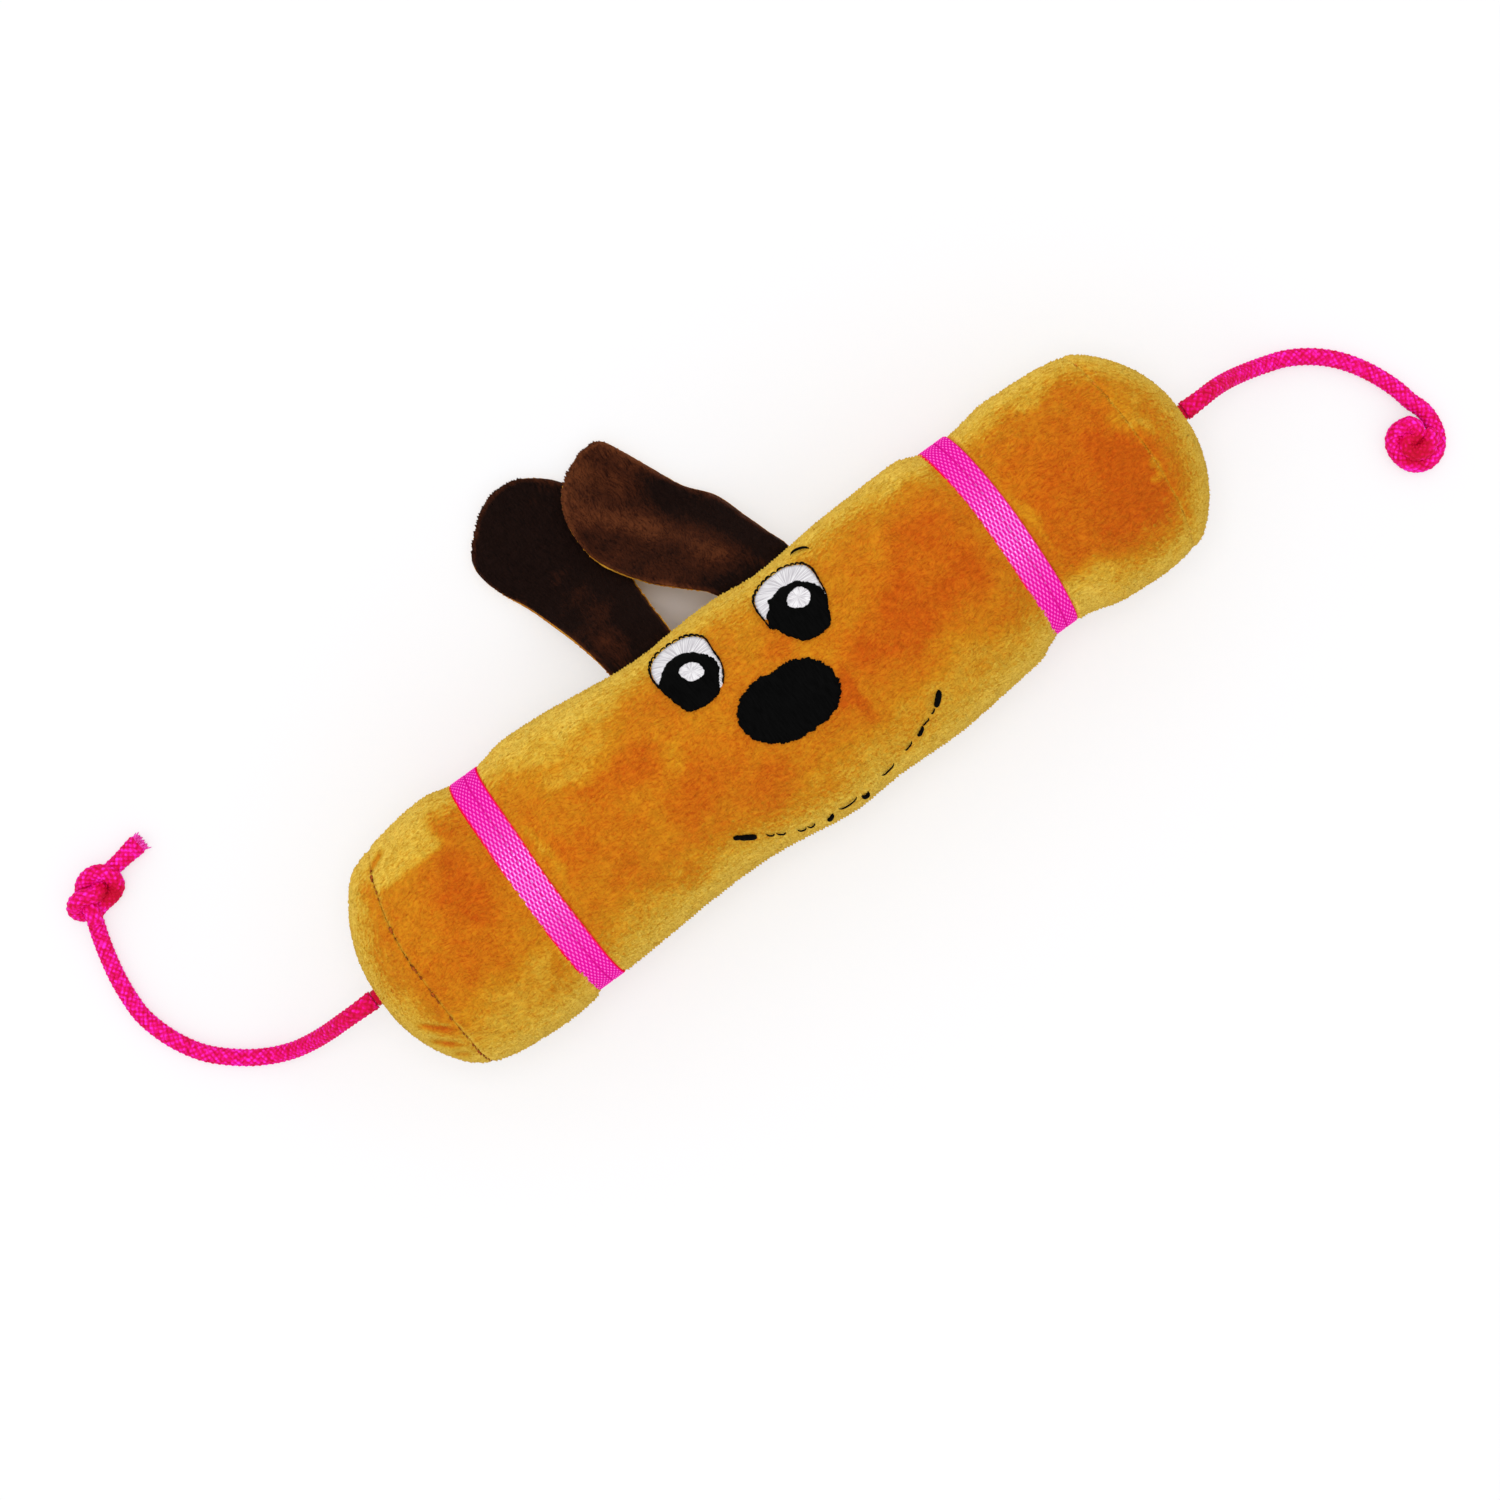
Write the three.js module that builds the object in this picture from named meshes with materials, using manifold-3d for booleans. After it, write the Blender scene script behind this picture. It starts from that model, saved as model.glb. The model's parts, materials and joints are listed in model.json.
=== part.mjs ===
// A plush dog toy: a stuffed tube of short-pile fabric with domed ends, two ears, an embroidered face,
// two webbing bands and one braided cord that runs through it and ends in a knot on each side.
// It lies on its back with the face up. X runs along the body, +Y goes to the ears, and Z = 0 is the table.
import * as THREE from 'three';
import { mergeVertices } from 'three/addons/utils/BufferGeometryUtils.js';
import Module from 'manifold-3d';

const wasm = await Module();
wasm.setup();

// Driving dimensions, in millimetres.
const bodyLength = 300;
const bodyRadius = 39.5;
const plushWall = 2;
const sewnGap = 0.3;
const seamAllowance = 5;
const leftPanelDepth = 18.5;
const rightPanelDepth = 19.7;
const restFlatDepth = 0.5;
const fillingGap = 0.6;
const stationSpacing = 1.5;

const bandWidth = 10;
const bandThickness = 1;
const leftBandInset = 42.8;
const leftBandPinch = 2.9;
const leftBandShoulder = 4;
const rightBandInset = 46.9;
const rightBandPinch = 4.1;
const rightBandShoulder = 8;

const cordDiameter = 5.2;
const knotCordDiameter = 4;

const earPanelThickness = 2.1;
const earLength = 65.2;
const earWidth = 40;
const leftEarRoot = -24.7;
const rightEarRoot = 17.3;
const earRootAngle = 98;
const earRootClearance = 0.5;

const threadLift = 0.4;
const threadThickness = 0.9;
const eyeWhiteWidth = 19.8;
const eyeWhiteHeight = 28;
const irisWidth = 18.4;
const irisHeight = 21.8;
const glintWidth = 7.2;
const glintHeight = 7.6;
const noseWidth = 31.2;
const noseHeight = 21.2;
const smileWidth = 70.8;
const smileHeight = 22.5;
const smileThreadWidth = 1.4;
const smileDashWidth = 2.8;
const browLength = 7.6;
const browThreadWidth = 1.4;

const squeakerRadius = 11;
const squeakerLength = 27;
const squeakerWall = 1.1;
const squeakerNeckRadius = 4.6;
const squeakerNeckLength = 6;
const squeakerPlace = 6;
const reedBore = 2.4;

const overrun = 4;

// Counts.
const bodySides = 36;
const stuffingSides = bodySides / 2;
const tubeSteps = 20;
const domeSteps = 6;
const padPoints = 22;
const smallPadPoints = 14;
const smileSteps = 28;
const earAcross = 6;
const squeakerSides = 16;
const cordSides = 10;
const coreSides = 12;
const knotSides = 8;
const knotSteps = 50;

// The body's half width, half height and resting radius along the tube: [share of the tube, share of
// bodyRadius], from the left seam to the right seam. Where half height and resting radius agree, the
// back touches the table.
const widthShares = [
  [0, 0.896], [0.019, 0.937], [0.036, 0.962], [0.087, 1], [0.122, 0.995], [0.163, 0.977],
  [0.208, 0.967], [0.259, 0.954], [0.311, 0.927], [0.397, 0.899], [0.502, 0.957], [0.569, 0.927],
  [0.655, 0.952], [0.724, 0.944], [0.775, 0.929], [0.821, 0.911], [0.861, 0.906], [0.93, 0.911],
  [0.964, 0.904], [1, 0.866],
];
const heightShares = [
  [0, 0.885], [0.036, 0.94], [0.087, 0.965], [0.3, 0.935], [0.5, 0.94], [0.75, 0.935], [0.93, 0.905],
  [0.964, 0.894], [1, 0.86],
];
const restShares = [
  [0, 0.945], [0.036, 0.957], [0.087, 0.965], [0.3, 0.935], [0.5, 0.94], [0.75, 0.935], [0.93, 0.905],
  [0.964, 0.9], [1, 0.893],
];
const swayShares = [
  [0, -0.02], [0.105, 0], [0.277, 0.033], [0.414, 0], [0.567, -0.03], [0.689, 0], [0.773, 0.038],
  [0.842, 0.048], [0.945, 0], [1, -0.008],
];

// How an end panel domes: its radius share falls as 1 minus the depth share to this power, rooted.
const domePowerShare = 1.3;

const leftTip = -bodyLength / 2;
const rightTip = bodyLength / 2;
const leftSeam = leftTip + leftPanelDepth;
const rightSeam = rightTip - rightPanelDepth;
const tubeLength = rightSeam - leftSeam;
const cordRadius = cordDiameter / 2;
const cordHoleRadius = cordRadius + sewnGap;
const leftBand = leftSeam + leftBandInset;
const rightBand = rightSeam - rightBandInset;
const bands = [
  { name: 'band_left', place: leftBand, pinch: leftBandPinch, shoulder: leftBandShoulder },
  { name: 'band_right', place: rightBand, pinch: rightBandPinch, shoulder: rightBandShoulder },
];

// Reads a table of [at, value] rows with smooth tangents between its rows.
function readTable(table, at) {
  let i = 0;
  while (i < table.length - 2 && at > table[i + 1][0]) i += 1;
  const slope = (k) => {
    const before = table[Math.max(k - 1, 0)];
    const after = table[Math.min(k + 1, table.length - 1)];
    return (after[1] - before[1]) / (after[0] - before[0]);
  };
  const [x0, y0] = table[i];
  const [x1, y1] = table[i + 1];
  const t = THREE.MathUtils.clamp((at - x0) / (x1 - x0), 0, 1);
  const span = x1 - x0;
  const h00 = (1 + 2 * t) * (1 - t) * (1 - t);
  const h10 = t * (1 - t) * (1 - t);
  const h01 = t * t * (3 - 2 * t);
  const h11 = t * t * (t - 1);
  return h00 * y0 + h10 * span * slope(i) + h01 * y1 + h11 * span * slope(i + 1);
}

const tubeShare = (x) => THREE.MathUtils.clamp((x - leftSeam) / tubeLength, 0, 1);

// How deep the webbing draws the body in at a place along it.
function pinchAt(x) {
  let depth = 0;
  for (const band of bands) {
    const beside = Math.abs(x - band.place) - bandWidth / 2 - sewnGap;
    const t = THREE.MathUtils.clamp(beside / band.shoulder, 0, 1);
    depth += band.pinch * (1 - t * t * (3 - 2 * t));
  }
  return depth;
}

const halfWidth = (x) => bodyRadius * readTable(widthShares, tubeShare(x)) - pinchAt(x);
const halfHeight = (x) => bodyRadius * readTable(heightShares, tubeShare(x)) - pinchAt(x);
const centreY = (x) => bodyRadius * readTable(swayShares, tubeShare(x));
const centreZ = (x) => bodyRadius * readTable(restShares, tubeShare(x)) - restFlatDepth;

// A point on the tube of the body: the angle starts at the top and turns toward the ears.
function bodyPoint(x, angle, lift) {
  const y = centreY(x) + (halfWidth(x) + lift) * Math.sin(angle);
  const z = centreZ(x) + (halfHeight(x) + lift) * Math.cos(angle);
  return new THREE.Vector3(x, y, z);
}

// The same, from a distance around the body instead of an angle.
const facePoint = (x, around, lift) => bodyPoint(x, around / halfWidth(x), lift);

function ring(count, pointAt) {
  const points = [];
  for (let i = 0; i < count; i += 1) points.push(pointAt((i / count) * 2 * Math.PI));
  return points;
}

// Joins rings of points into one closed body. As a loop the last ring meets the first, and otherwise
// a fan closes each end around the point given for it.
function solidFromRings(rings, startCentre, endCentre) {
  const looped = startCentre === undefined;
  const count = rings[0].length;
  const positions = rings.flat().flatMap((p) => [p.x, p.y, p.z]);
  const index = [];
  const joined = looped ? rings.length : rings.length - 1;
  for (let j = 0; j < joined; j += 1) {
    const a = j * count;
    const b = ((j + 1) % rings.length) * count;
    for (let i = 0; i < count; i += 1) {
      const k = (i + 1) % count;
      index.push(a + i, a + k, b + i, a + k, b + k, b + i);
    }
  }
  if (!looped) {
    const start = rings.length * count;
    const last = (rings.length - 1) * count;
    for (const p of [startCentre, endCentre]) positions.push(p.x, p.y, p.z);
    for (let i = 0; i < count; i += 1) {
      const k = (i + 1) % count;
      index.push(start, k, i, start + 1, last + i, last + k);
    }
  }
  const geometry = new THREE.BufferGeometry();
  geometry.setAttribute('position', new THREE.Float32BufferAttribute(positions, 3));
  geometry.setIndex(index);
  if (signedVolume(geometry) < 0) geometry.setIndex(flipped(index));
  return geometry;
}

function signedVolume(geometry) {
  const position = geometry.getAttribute('position');
  const index = geometry.getIndex();
  const a = new THREE.Vector3();
  const b = new THREE.Vector3();
  const c = new THREE.Vector3();
  let sum = 0;
  for (let i = 0; i < index.count; i += 3) {
    a.fromBufferAttribute(position, index.getX(i));
    b.fromBufferAttribute(position, index.getX(i + 1));
    c.fromBufferAttribute(position, index.getX(i + 2));
    sum += a.dot(b.cross(c)) / 6;
  }
  return sum;
}

function flipped(index) {
  const turned = [];
  for (let i = 0; i < index.length; i += 3) turned.push(index[i], index[i + 2], index[i + 1]);
  return turned;
}

// Booleans.
function toManifold(geometry) {
  const bare = geometry.clone();
  bare.deleteAttribute('normal');
  bare.deleteAttribute('uv');
  const merged = mergeVertices(bare);
  return new wasm.Manifold(new wasm.Mesh({
    numProp: 3,
    vertProperties: new Float32Array(merged.getAttribute('position').array),
    triVerts: new Uint32Array(merged.getIndex().array),
  }));
}

function toGeometry(manifold) {
  const mesh = manifold.getMesh();
  const geometry = new THREE.BufferGeometry();
  const positions = [];
  for (let i = 0; i < mesh.vertProperties.length; i += mesh.numProp) {
    positions.push(...mesh.vertProperties.slice(i, i + 3));
  }
  geometry.setAttribute('position', new THREE.Float32BufferAttribute(positions, 3));
  geometry.setIndex([...mesh.triVerts]);
  return geometry;
}

function cut(geometry, ...cutters) {
  let solid = toManifold(geometry);
  for (const cutter of cutters) solid = solid.subtract(toManifold(cutter));
  return toGeometry(solid);
}

// A block under the table, which cuts a soft solid flat where it rests.
function underTable() {
  const block = new THREE.BoxGeometry(bodyLength, bodyRadius * 2, overrun);
  block.translate(0, 0, -overrun / 2);
  return block;
}

const group = new THREE.Group();

function addPart(name, geometry, material) {
  const mesh = new THREE.Mesh(geometry, material);
  mesh.name = name;
  group.add(mesh);
}

const finish = (color, roughness) => new THREE.MeshStandardMaterial({ color, roughness, metalness: 0 });
const goldenPlush = finish(0xd1861c, 0.95);
const brownPlush = finish(0x3f1e10, 0.95);
const pinkWebbing = finish(0xff2fa4, 0.5);
const pinkCord = finish(0xe8188a, 0.7);
const blackThread = finish(0x0c0c0e, 0.6);
const whiteThread = finish(0xe6e3e8, 0.45);
const fibreFilling = finish(0xf2f0ea, 1);
const squeakerPlastic = finish(0xe9ecee, 0.4);

// Body tube: one shell whose raw edges are turned in at both seams.
function stationsAlongTube() {
  const stations = [];
  for (let i = 0; i <= tubeSteps; i += 1) stations.push(leftSeam + (tubeLength * i) / tubeSteps);
  for (const band of bands) {
    const edge = bandWidth / 2 + sewnGap;
    for (const side of [-1, 1]) {
      for (const step of [edge, edge + band.shoulder / 2, edge + band.shoulder]) {
        stations.push(band.place + side * step);
      }
    }
  }
  stations.sort((a, b) => a - b);
  const reach = bandWidth / 2 + sewnGap;
  const isEdge = (x) => bands.some((b) => Math.abs(Math.abs(x - b.place) - reach) < sewnGap / 2);
  const isClear = (x, i) => x - stations[i - 1] > stationSpacing
    && stations[Math.min(i + 1, stations.length - 1)] - x > stationSpacing;
  return stations.filter((x, i) => i === 0 || isEdge(x) || x === rightSeam || isClear(x, i));
}

const outerStations = stationsAlongTube();
const liningStations = outerStations.slice(1, -1)
  .filter((x) => x > leftSeam + 2 * plushWall && x < rightSeam - 2 * plushWall)
  .filter((x, i) => i % 2 === 0 || pinchAt(x) > 0);

function bodyTube() {
  const at = (x, lift) => ring(bodySides, (angle) => bodyPoint(x, angle, lift));
  const rings = [
    ...outerStations.map((x) => at(x, 0)),
    at(rightSeam, -seamAllowance),
    at(rightSeam - plushWall, -seamAllowance),
    at(rightSeam - plushWall, -plushWall),
    ...liningStations.slice().reverse().map((x) => at(x, -plushWall)),
    at(leftSeam + plushWall, -plushWall),
    at(leftSeam + plushWall, -seamAllowance),
    at(leftSeam, -seamAllowance),
  ];
  return cut(solidFromRings(rings), underTable());
}

// End panel: a domed disc with a hole for the cord and its raw edge turned in against the tube's.
const domeDepthShare = (radiusShare) => (1 - radiusShare * radiusShare) ** (1 / domePowerShare);

function domeRing(seam, outward, count, offset, depth, inset, radiusShare) {
  const x = seam + outward * (offset + depth * domeDepthShare(radiusShare));
  return ring(count, (angle) => {
    const p = bodyPoint(seam, angle, -inset);
    const y = centreY(seam) + (p.y - centreY(seam)) * radiusShare;
    const z = centreZ(seam) + (p.z - centreZ(seam)) * radiusShare;
    return new THREE.Vector3(x, y, z);
  });
}

function domeShares(edgeShare) {
  const shares = [];
  for (let i = 0; i <= domeSteps; i += 1) {
    const t = i / domeSteps;
    shares.push(Math.cos((t * Math.PI) / 2) * (1 - edgeShare) + edgeShare);
  }
  return shares;
}

function endPanel(seam, outward, depth) {
  const radius = halfWidth(seam);
  const outerDepth = depth - sewnGap;
  const innerDepth = depth - sewnGap - 2 * plushWall;
  const outerShares = domeShares(cordHoleRadius / radius);
  const innerShares = domeShares(cordHoleRadius / (radius - plushWall)).reverse();
  const rim = (offset) => ring(bodySides, (angle) => {
    const p = bodyPoint(seam, angle, -seamAllowance);
    return new THREE.Vector3(seam + outward * offset, p.y, p.z);
  });
  const base = sewnGap + plushWall;
  return solidFromRings([
    ...outerShares.map((q) => domeRing(seam, outward, bodySides, sewnGap, outerDepth, 0, q)),
    ...innerShares.map((q) => domeRing(seam, outward, bodySides, base, innerDepth, plushWall, q)),
    rim(base),
    rim(sewnGap),
  ]);
}

// Squeaker: a blown bulb with a neck, and the reed pressed into the neck.
const cordCentre = (x) => {
  const t = (x - leftTip) / bodyLength;
  const y = THREE.MathUtils.lerp(centreY(leftSeam), centreY(rightSeam), t);
  const z = THREE.MathUtils.lerp(centreZ(leftSeam), centreZ(rightSeam), t);
  return new THREE.Vector3(x, y, z);
};
const squeakerRise = cordRadius + sewnGap + squeakerRadius;

// The bulb's profile: [share of its radius, share of half its length] at foot, belly, waist and shoulder.
const squeakerShares = { foot: [0.62, -1], belly: [1, -0.55], waist: [1, 0.45], shoulder: [0.74, 0.85] };

function squeakerProfile(grow) {
  const half = squeakerLength / 2;
  const belly = squeakerRadius + grow;
  const neck = squeakerNeckRadius + grow;
  const at = ([radiusShare, halfShare]) => [belly * radiusShare, half * halfShare];
  return [
    [0, -half - grow],
    [at(squeakerShares.foot)[0], -half - grow],
    at(squeakerShares.belly),
    at(squeakerShares.waist),
    at(squeakerShares.shoulder),
    [neck, half],
    [neck, half + squeakerNeckLength + grow],
  ];
}

function latheAlongX(profile, sides) {
  const lathe = new THREE.LatheGeometry(profile.map(([r, h]) => new THREE.Vector2(r, h)), sides);
  lathe.rotateZ(-Math.PI / 2);
  const middle = cordCentre(squeakerPlace);
  lathe.translate(middle.x, middle.y, middle.z + squeakerRise);
  lathe.deleteAttribute('normal');
  lathe.deleteAttribute('uv');
  const merged = mergeVertices(lathe);
  const index = [...merged.getIndex().array];
  const clean = [];
  for (let i = 0; i < index.length; i += 3) {
    const [a, b, c] = index.slice(i, i + 3);
    if (a !== b && b !== c && a !== c) clean.push(a, b, c);
  }
  merged.setIndex(clean);
  if (signedVolume(merged) < 0) merged.setIndex(flipped(clean));
  return merged;
}

function squeakerBulb() {
  const outer = squeakerProfile(0);
  const inner = squeakerProfile(-squeakerWall).reverse();
  inner[0] = [squeakerNeckRadius - squeakerWall, squeakerLength / 2 + squeakerNeckLength];
  return latheAlongX([...outer, ...inner], squeakerSides);
}

const neckTop = squeakerLength / 2 + squeakerNeckLength;
const reedTop = neckTop + sewnGap + squeakerWall;

function squeakerReed() {
  const foot = neckTop - squeakerNeckLength;
  const flangeFoot = neckTop + sewnGap;
  const barrel = squeakerNeckRadius - squeakerWall - sewnGap;
  const flange = squeakerNeckRadius;
  const bore = reedBore / 2;
  const profile = [
    [bore, foot], [barrel, foot], [barrel, flangeFoot], [flange, flangeFoot], [flange, reedTop],
    [bore, reedTop], [bore, foot],
  ];
  return latheAlongX(profile, squeakerSides);
}

// The pocket that the filling leaves round the squeaker.
function squeakerPocket() {
  const room = 2 * sewnGap;
  const profile = squeakerProfile(room).slice(0, -1);
  const end = reedTop + room;
  return latheAlongX([...profile, [squeakerNeckRadius + room, end], [0, end]], squeakerSides);
}

// Filling: fibre that fills the tube and both domes, with the cord's channel and the squeaker's pocket.
function stuffing() {
  const neckInset = seamAllowance + fillingGap;
  const fullInset = plushWall + fillingGap;
  const at = (x, inset) => ring(stuffingSides, (angle) => bodyPoint(x, angle, -inset));
  const shifted = (seam, outward, offset, inset) => ring(stuffingSides, (angle) => {
    const p = bodyPoint(seam, angle, -inset);
    return new THREE.Vector3(seam + outward * offset, p.y, p.z);
  });
  const domeBase = plushWall + sewnGap + fillingGap;
  const ends = [
    { seam: leftSeam, outward: -1, depth: leftPanelDepth },
    { seam: rightSeam, outward: 1, depth: rightPanelDepth },
  ].map(({ seam, outward, depth }) => {
    const radius = halfWidth(seam) - fullInset;
    const domeDepth = depth - 2 * plushWall - sewnGap - 2 * fillingGap;
    const shares = domeShares(cordHoleRadius / radius);
    const sides = stuffingSides;
    const dome = shares.map((q) => domeRing(seam, outward, sides, domeBase, domeDepth, fullInset, q));
    return [
      at(seam - outward * (plushWall + fillingGap), fullInset),
      at(seam - outward * (plushWall + fillingGap), neckInset),
      shifted(seam, outward, domeBase, neckInset),
      ...dome,
    ];
  });
  const along = liningStations.map((x) => at(x, fullInset));
  return cut(
    solidFromRings([...ends[0].slice().reverse(), ...along, ...ends[1]]),
    squeakerPocket(),
  );
}

// Bands: webbing drawn tight round the body.
function band({ place }) {
  const under = sewnGap;
  const over = sewnGap + bandThickness;
  const at = (offset, lift) => ring(bodySides, (angle) => bodyPoint(place + offset, angle, lift));
  const half = bandWidth / 2;
  return solidFromRings([at(-half, under), at(-half, over), at(0, over), at(half, over), at(half, under),
    at(0, under)]);
}

// Embroidery: each patch is a pad on the curve of the body. An outline gives, for an angle, the distance
// along and around the body from the patch's centre.
const superellipse = (half, squareness, turn = 0) => (angle) => {
  const c = Math.cos(angle);
  const s = Math.sin(angle);
  const reach = (Math.abs(c) ** squareness + Math.abs(s) ** squareness) ** (-1 / squareness);
  const x = half.along * reach * c;
  const y = half.around * reach * s;
  return [x * Math.cos(turn) - y * Math.sin(turn), x * Math.sin(turn) + y * Math.cos(turn)];
};

const padRingShares = [0.4, 0.75, 1];

function pad({ along, around }, outline, low, high, count = padPoints, grow = 0) {
  const at = (share, lift) => ring(count, (angle) => {
    const [x, y] = outline(angle);
    const size = Math.hypot(x, y);
    const scale = (share * (size + grow)) / size;
    return facePoint(along + x * scale, around + y * scale, lift);
  });
  const inward = count > smallPadPoints ? padRingShares : [1];
  const rings = [...inward.map((q) => at(q, low)), ...inward.slice().reverse().map((q) => at(q, high))];
  return solidFromRings(rings, facePoint(along, around, low), facePoint(along, around, high));
}

const padLow = threadLift;
const padHigh = threadLift + threadThickness;
const patch = (place, outline, count) => pad(place, outline, padLow, padHigh, count);
const patchCutter = (place, outline, count) => pad(place, outline, 0, padHigh + overrun, count, sewnGap);

const halves = (width, height) => ({ along: width / 2, around: height / 2 });

// The places of the face, as shares of bodyRadius along and around the body.
const faceShares = {
  leftWhite: [-0.418, 0.724],
  leftIris: [-0.428, 0.587],
  leftGlint: [-0.39, 0.618],
  rightWhite: [0.516, 0.732],
  rightIris: [0.522, 0.532],
  rightGlint: [0.567, 0.61],
  nose: [0.063, -0.013],
  smile: [0.099, -1.278],
  brow: [0.818, 1.094],
};
const faceAt = (name) => {
  const [alongShare, aroundShare] = faceShares[name];
  return { along: bodyRadius * alongShare, around: bodyRadius * aroundShare };
};
const eyes = [
  { side: 'left', white: faceAt('leftWhite'), iris: faceAt('leftIris'), glint: faceAt('leftGlint') },
  { side: 'right', white: faceAt('rightWhite'), iris: faceAt('rightIris'), glint: faceAt('rightGlint') },
];
const whitePowerShare = 2.5;
const nosePowerShare = 2.4;
const roundPowerShare = 2;
const noseTurn = -0.1;
const browTurn = -0.85;
const dashStartShare = 0.78;

// A sewn line on the body: a strip whose half width may change along it.
function threadLine(count, centreAt, halfWidthAt) {
  const rings = [];
  for (let i = 0; i <= count; i += 1) {
    const t = i / count;
    const [x, y] = centreAt(t);
    const [xa, ya] = centreAt(Math.max(t - 1 / (2 * count), 0));
    const [xb, yb] = centreAt(Math.min(t + 1 / (2 * count), 1));
    const across = new THREE.Vector2(yb - ya, xa - xb).normalize().multiplyScalar(halfWidthAt(t));
    rings.push([
      facePoint(x - across.x, y - across.y, padLow),
      facePoint(x + across.x, y + across.y, padLow),
      facePoint(x + across.x, y + across.y, padHigh),
      facePoint(x - across.x, y - across.y, padHigh),
    ]);
  }
  return solidFromRings(rings, middleOf(rings[0]), middleOf(rings[count]));
}

function middleOf(points) {
  const sum = new THREE.Vector3();
  for (const p of points) sum.add(p);
  return sum.divideScalar(points.length);
}

// The smile rises from its lowest place to both sides and ends in a thicker dash.
function smile() {
  const place = faceAt('smile');
  const fromMiddle = (t) => 2 * t - 1;
  const centreAt = (t) => {
    const u = fromMiddle(t);
    return [place.along + (smileWidth / 2) * u, place.around + smileHeight * u * u];
  };
  const isDash = (t) => Math.abs(fromMiddle(t)) > dashStartShare;
  const halfWidthAt = (t) => (isDash(t) ? smileDashWidth : smileThreadWidth) / 2;
  return threadLine(smileSteps, centreAt, halfWidthAt);
}

// Ears: two sewn panels each, draped from the root at the side of the head to the table.
// Rows: share of the ear's plan length, left edge and right edge as shares of its width.
const leftEarEdgeShares = [
  [0, -0.29, 0.29], [0.16, -0.34, 0.27], [0.3, -0.41, 0.2], [0.42, -0.475, 0.1], [0.5, -0.53, 0.07],
  [0.62, -0.62, 0.07], [0.74, -0.665, 0.09], [0.81, -0.63, 0.115], [0.87, -0.55, 0.12],
  [0.93, -0.44, 0.09], [0.98, -0.3, 0], [1, -0.2, -0.08],
];
const rightEarEdgeShares = [
  [0, -0.33, 0.33], [0.16, -0.56, 0.27], [0.28, -0.7, 0.2], [0.4, -0.84, 0.11], [0.5, -0.925, 0.02],
  [0.62, -0.93, -0.1], [0.74, -0.9, -0.19], [0.81, -0.84, -0.24], [0.87, -0.77, -0.28],
  [0.92, -0.68, -0.33], [0.95, -0.55, -0.39],
];
// The drape of an ear: share of its plan length, height of its middle as a share of the root's height.
const leftDrapeShares = [
  [0, 1], [0.1, 0.88], [0.25, 0.56], [0.4, 0.24], [0.52, 0.105], [0.65, 0.08], [1, 0.08],
];
const rightDrapeShares = [
  [0, 1], [0.1, 0.88], [0.25, 0.58], [0.4, 0.3], [0.52, 0.19], [0.65, 0.15], [1, 0.12],
];
const ears = [
  { side: 'left', root: leftEarRoot, edges: leftEarEdgeShares, drape: leftDrapeShares },
  { side: 'right', root: rightEarRoot, edges: rightEarEdgeShares, drape: rightDrapeShares },
];
const earRootRadius = earPanelThickness + sewnGap / 2;
const earRootHalfShare = 0.33;
const earRootSamples = 12;

// The fold at the root, as shares of its radius behind the hinge line.
const earFoldShares = [-0.97, -0.8, -0.45];

// A panel's section: the share of its thickness at the sewn edge, how square its crown is, and the share
// left from just before its tip.
const earEdgeShare = 0.35;
const earCrownPowerShare = 4;
const earTipShare = 0.7;
const earTipStartShare = 0.06;

// The hinge line of an ear: the fold at its root, just clear of the fullest place of the body there.
function earHinge(rootX) {
  const angle = THREE.MathUtils.degToRad(earRootAngle);
  let reach = 0;
  const half = earWidth * earRootHalfShare;
  for (let i = 0; i <= earRootSamples; i += 1) {
    const x = rootX + half * ((2 * i) / earRootSamples - 1);
    reach = Math.max(reach, bodyPoint(x, angle, 0).y);
  }
  const z = bodyPoint(rootX, angle, 0).z;
  const out = earRootRadius + earRootClearance;
  return { y: reach + out * Math.sin(angle), z: z + out * Math.cos(angle) };
}

function earPanel(ear, layer) {
  const hinge = earHinge(ear.root);
  const last = ear.edges[ear.edges.length - 1][0];
  const sheet = (share) => {
    const z = hinge.z * readTable(ear.drape, share);
    const y = hinge.y + earLength * share;
    const stepShare = 0.01;
    const drop = hinge.z * (readTable(ear.drape, share + stepShare) - readTable(ear.drape, share));
    const tangent = new THREE.Vector2(earLength * stepShare, drop).normalize();
    return { y, z, normal: new THREE.Vector2(-tangent.y, tangent.x), tangent };
  };
  const stations = [
    ...earFoldShares.map((share) => ({ behind: share * earRootRadius, share: 0 })),
    ...ear.edges.map(([share]) => ({ behind: 0, share })),
  ];
  const rings = stations.map(({ behind, share }) => {
    const place = sheet(share);
    const left = ear.root + earWidth * readTable(ear.edges.map((r) => [r[0], r[1]]), share);
    const right = ear.root + earWidth * readTable(ear.edges.map((r) => [r[0], r[2]]), share);
    const rounding = Math.sqrt(Math.max(earRootRadius ** 2 - behind ** 2, 0));
    const tipFade = share > last - earTipStartShare ? earTipShare : 1;
    const full = (behind < 0 ? rounding : earRootRadius) * tipFade;
    const point = (u, out) => {
      const y = place.y + place.tangent.x * behind + place.normal.x * out;
      const z = place.z + place.tangent.y * behind + place.normal.y * out;
      return new THREE.Vector3(THREE.MathUtils.lerp(left, right, u), y, z);
    };
    const inner = sewnGap / 2;
    const points = [];
    for (let i = 0; i <= earAcross; i += 1) points.push(point(i / earAcross, layer * inner));
    for (let i = earAcross; i >= 0; i -= 1) {
      const u = i / earAcross;
      const crown = Math.sqrt(1 - Math.abs(2 * u - 1) ** earCrownPowerShare);
      const out = inner + (full - inner) * THREE.MathUtils.lerp(earEdgeShare, 1, crown);
      points.push(point(u, layer * out));
    }
    return points;
  });
  return solidFromRings(rings, middleOf(rings[0]), middleOf(rings[rings.length - 1]));
}

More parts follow.
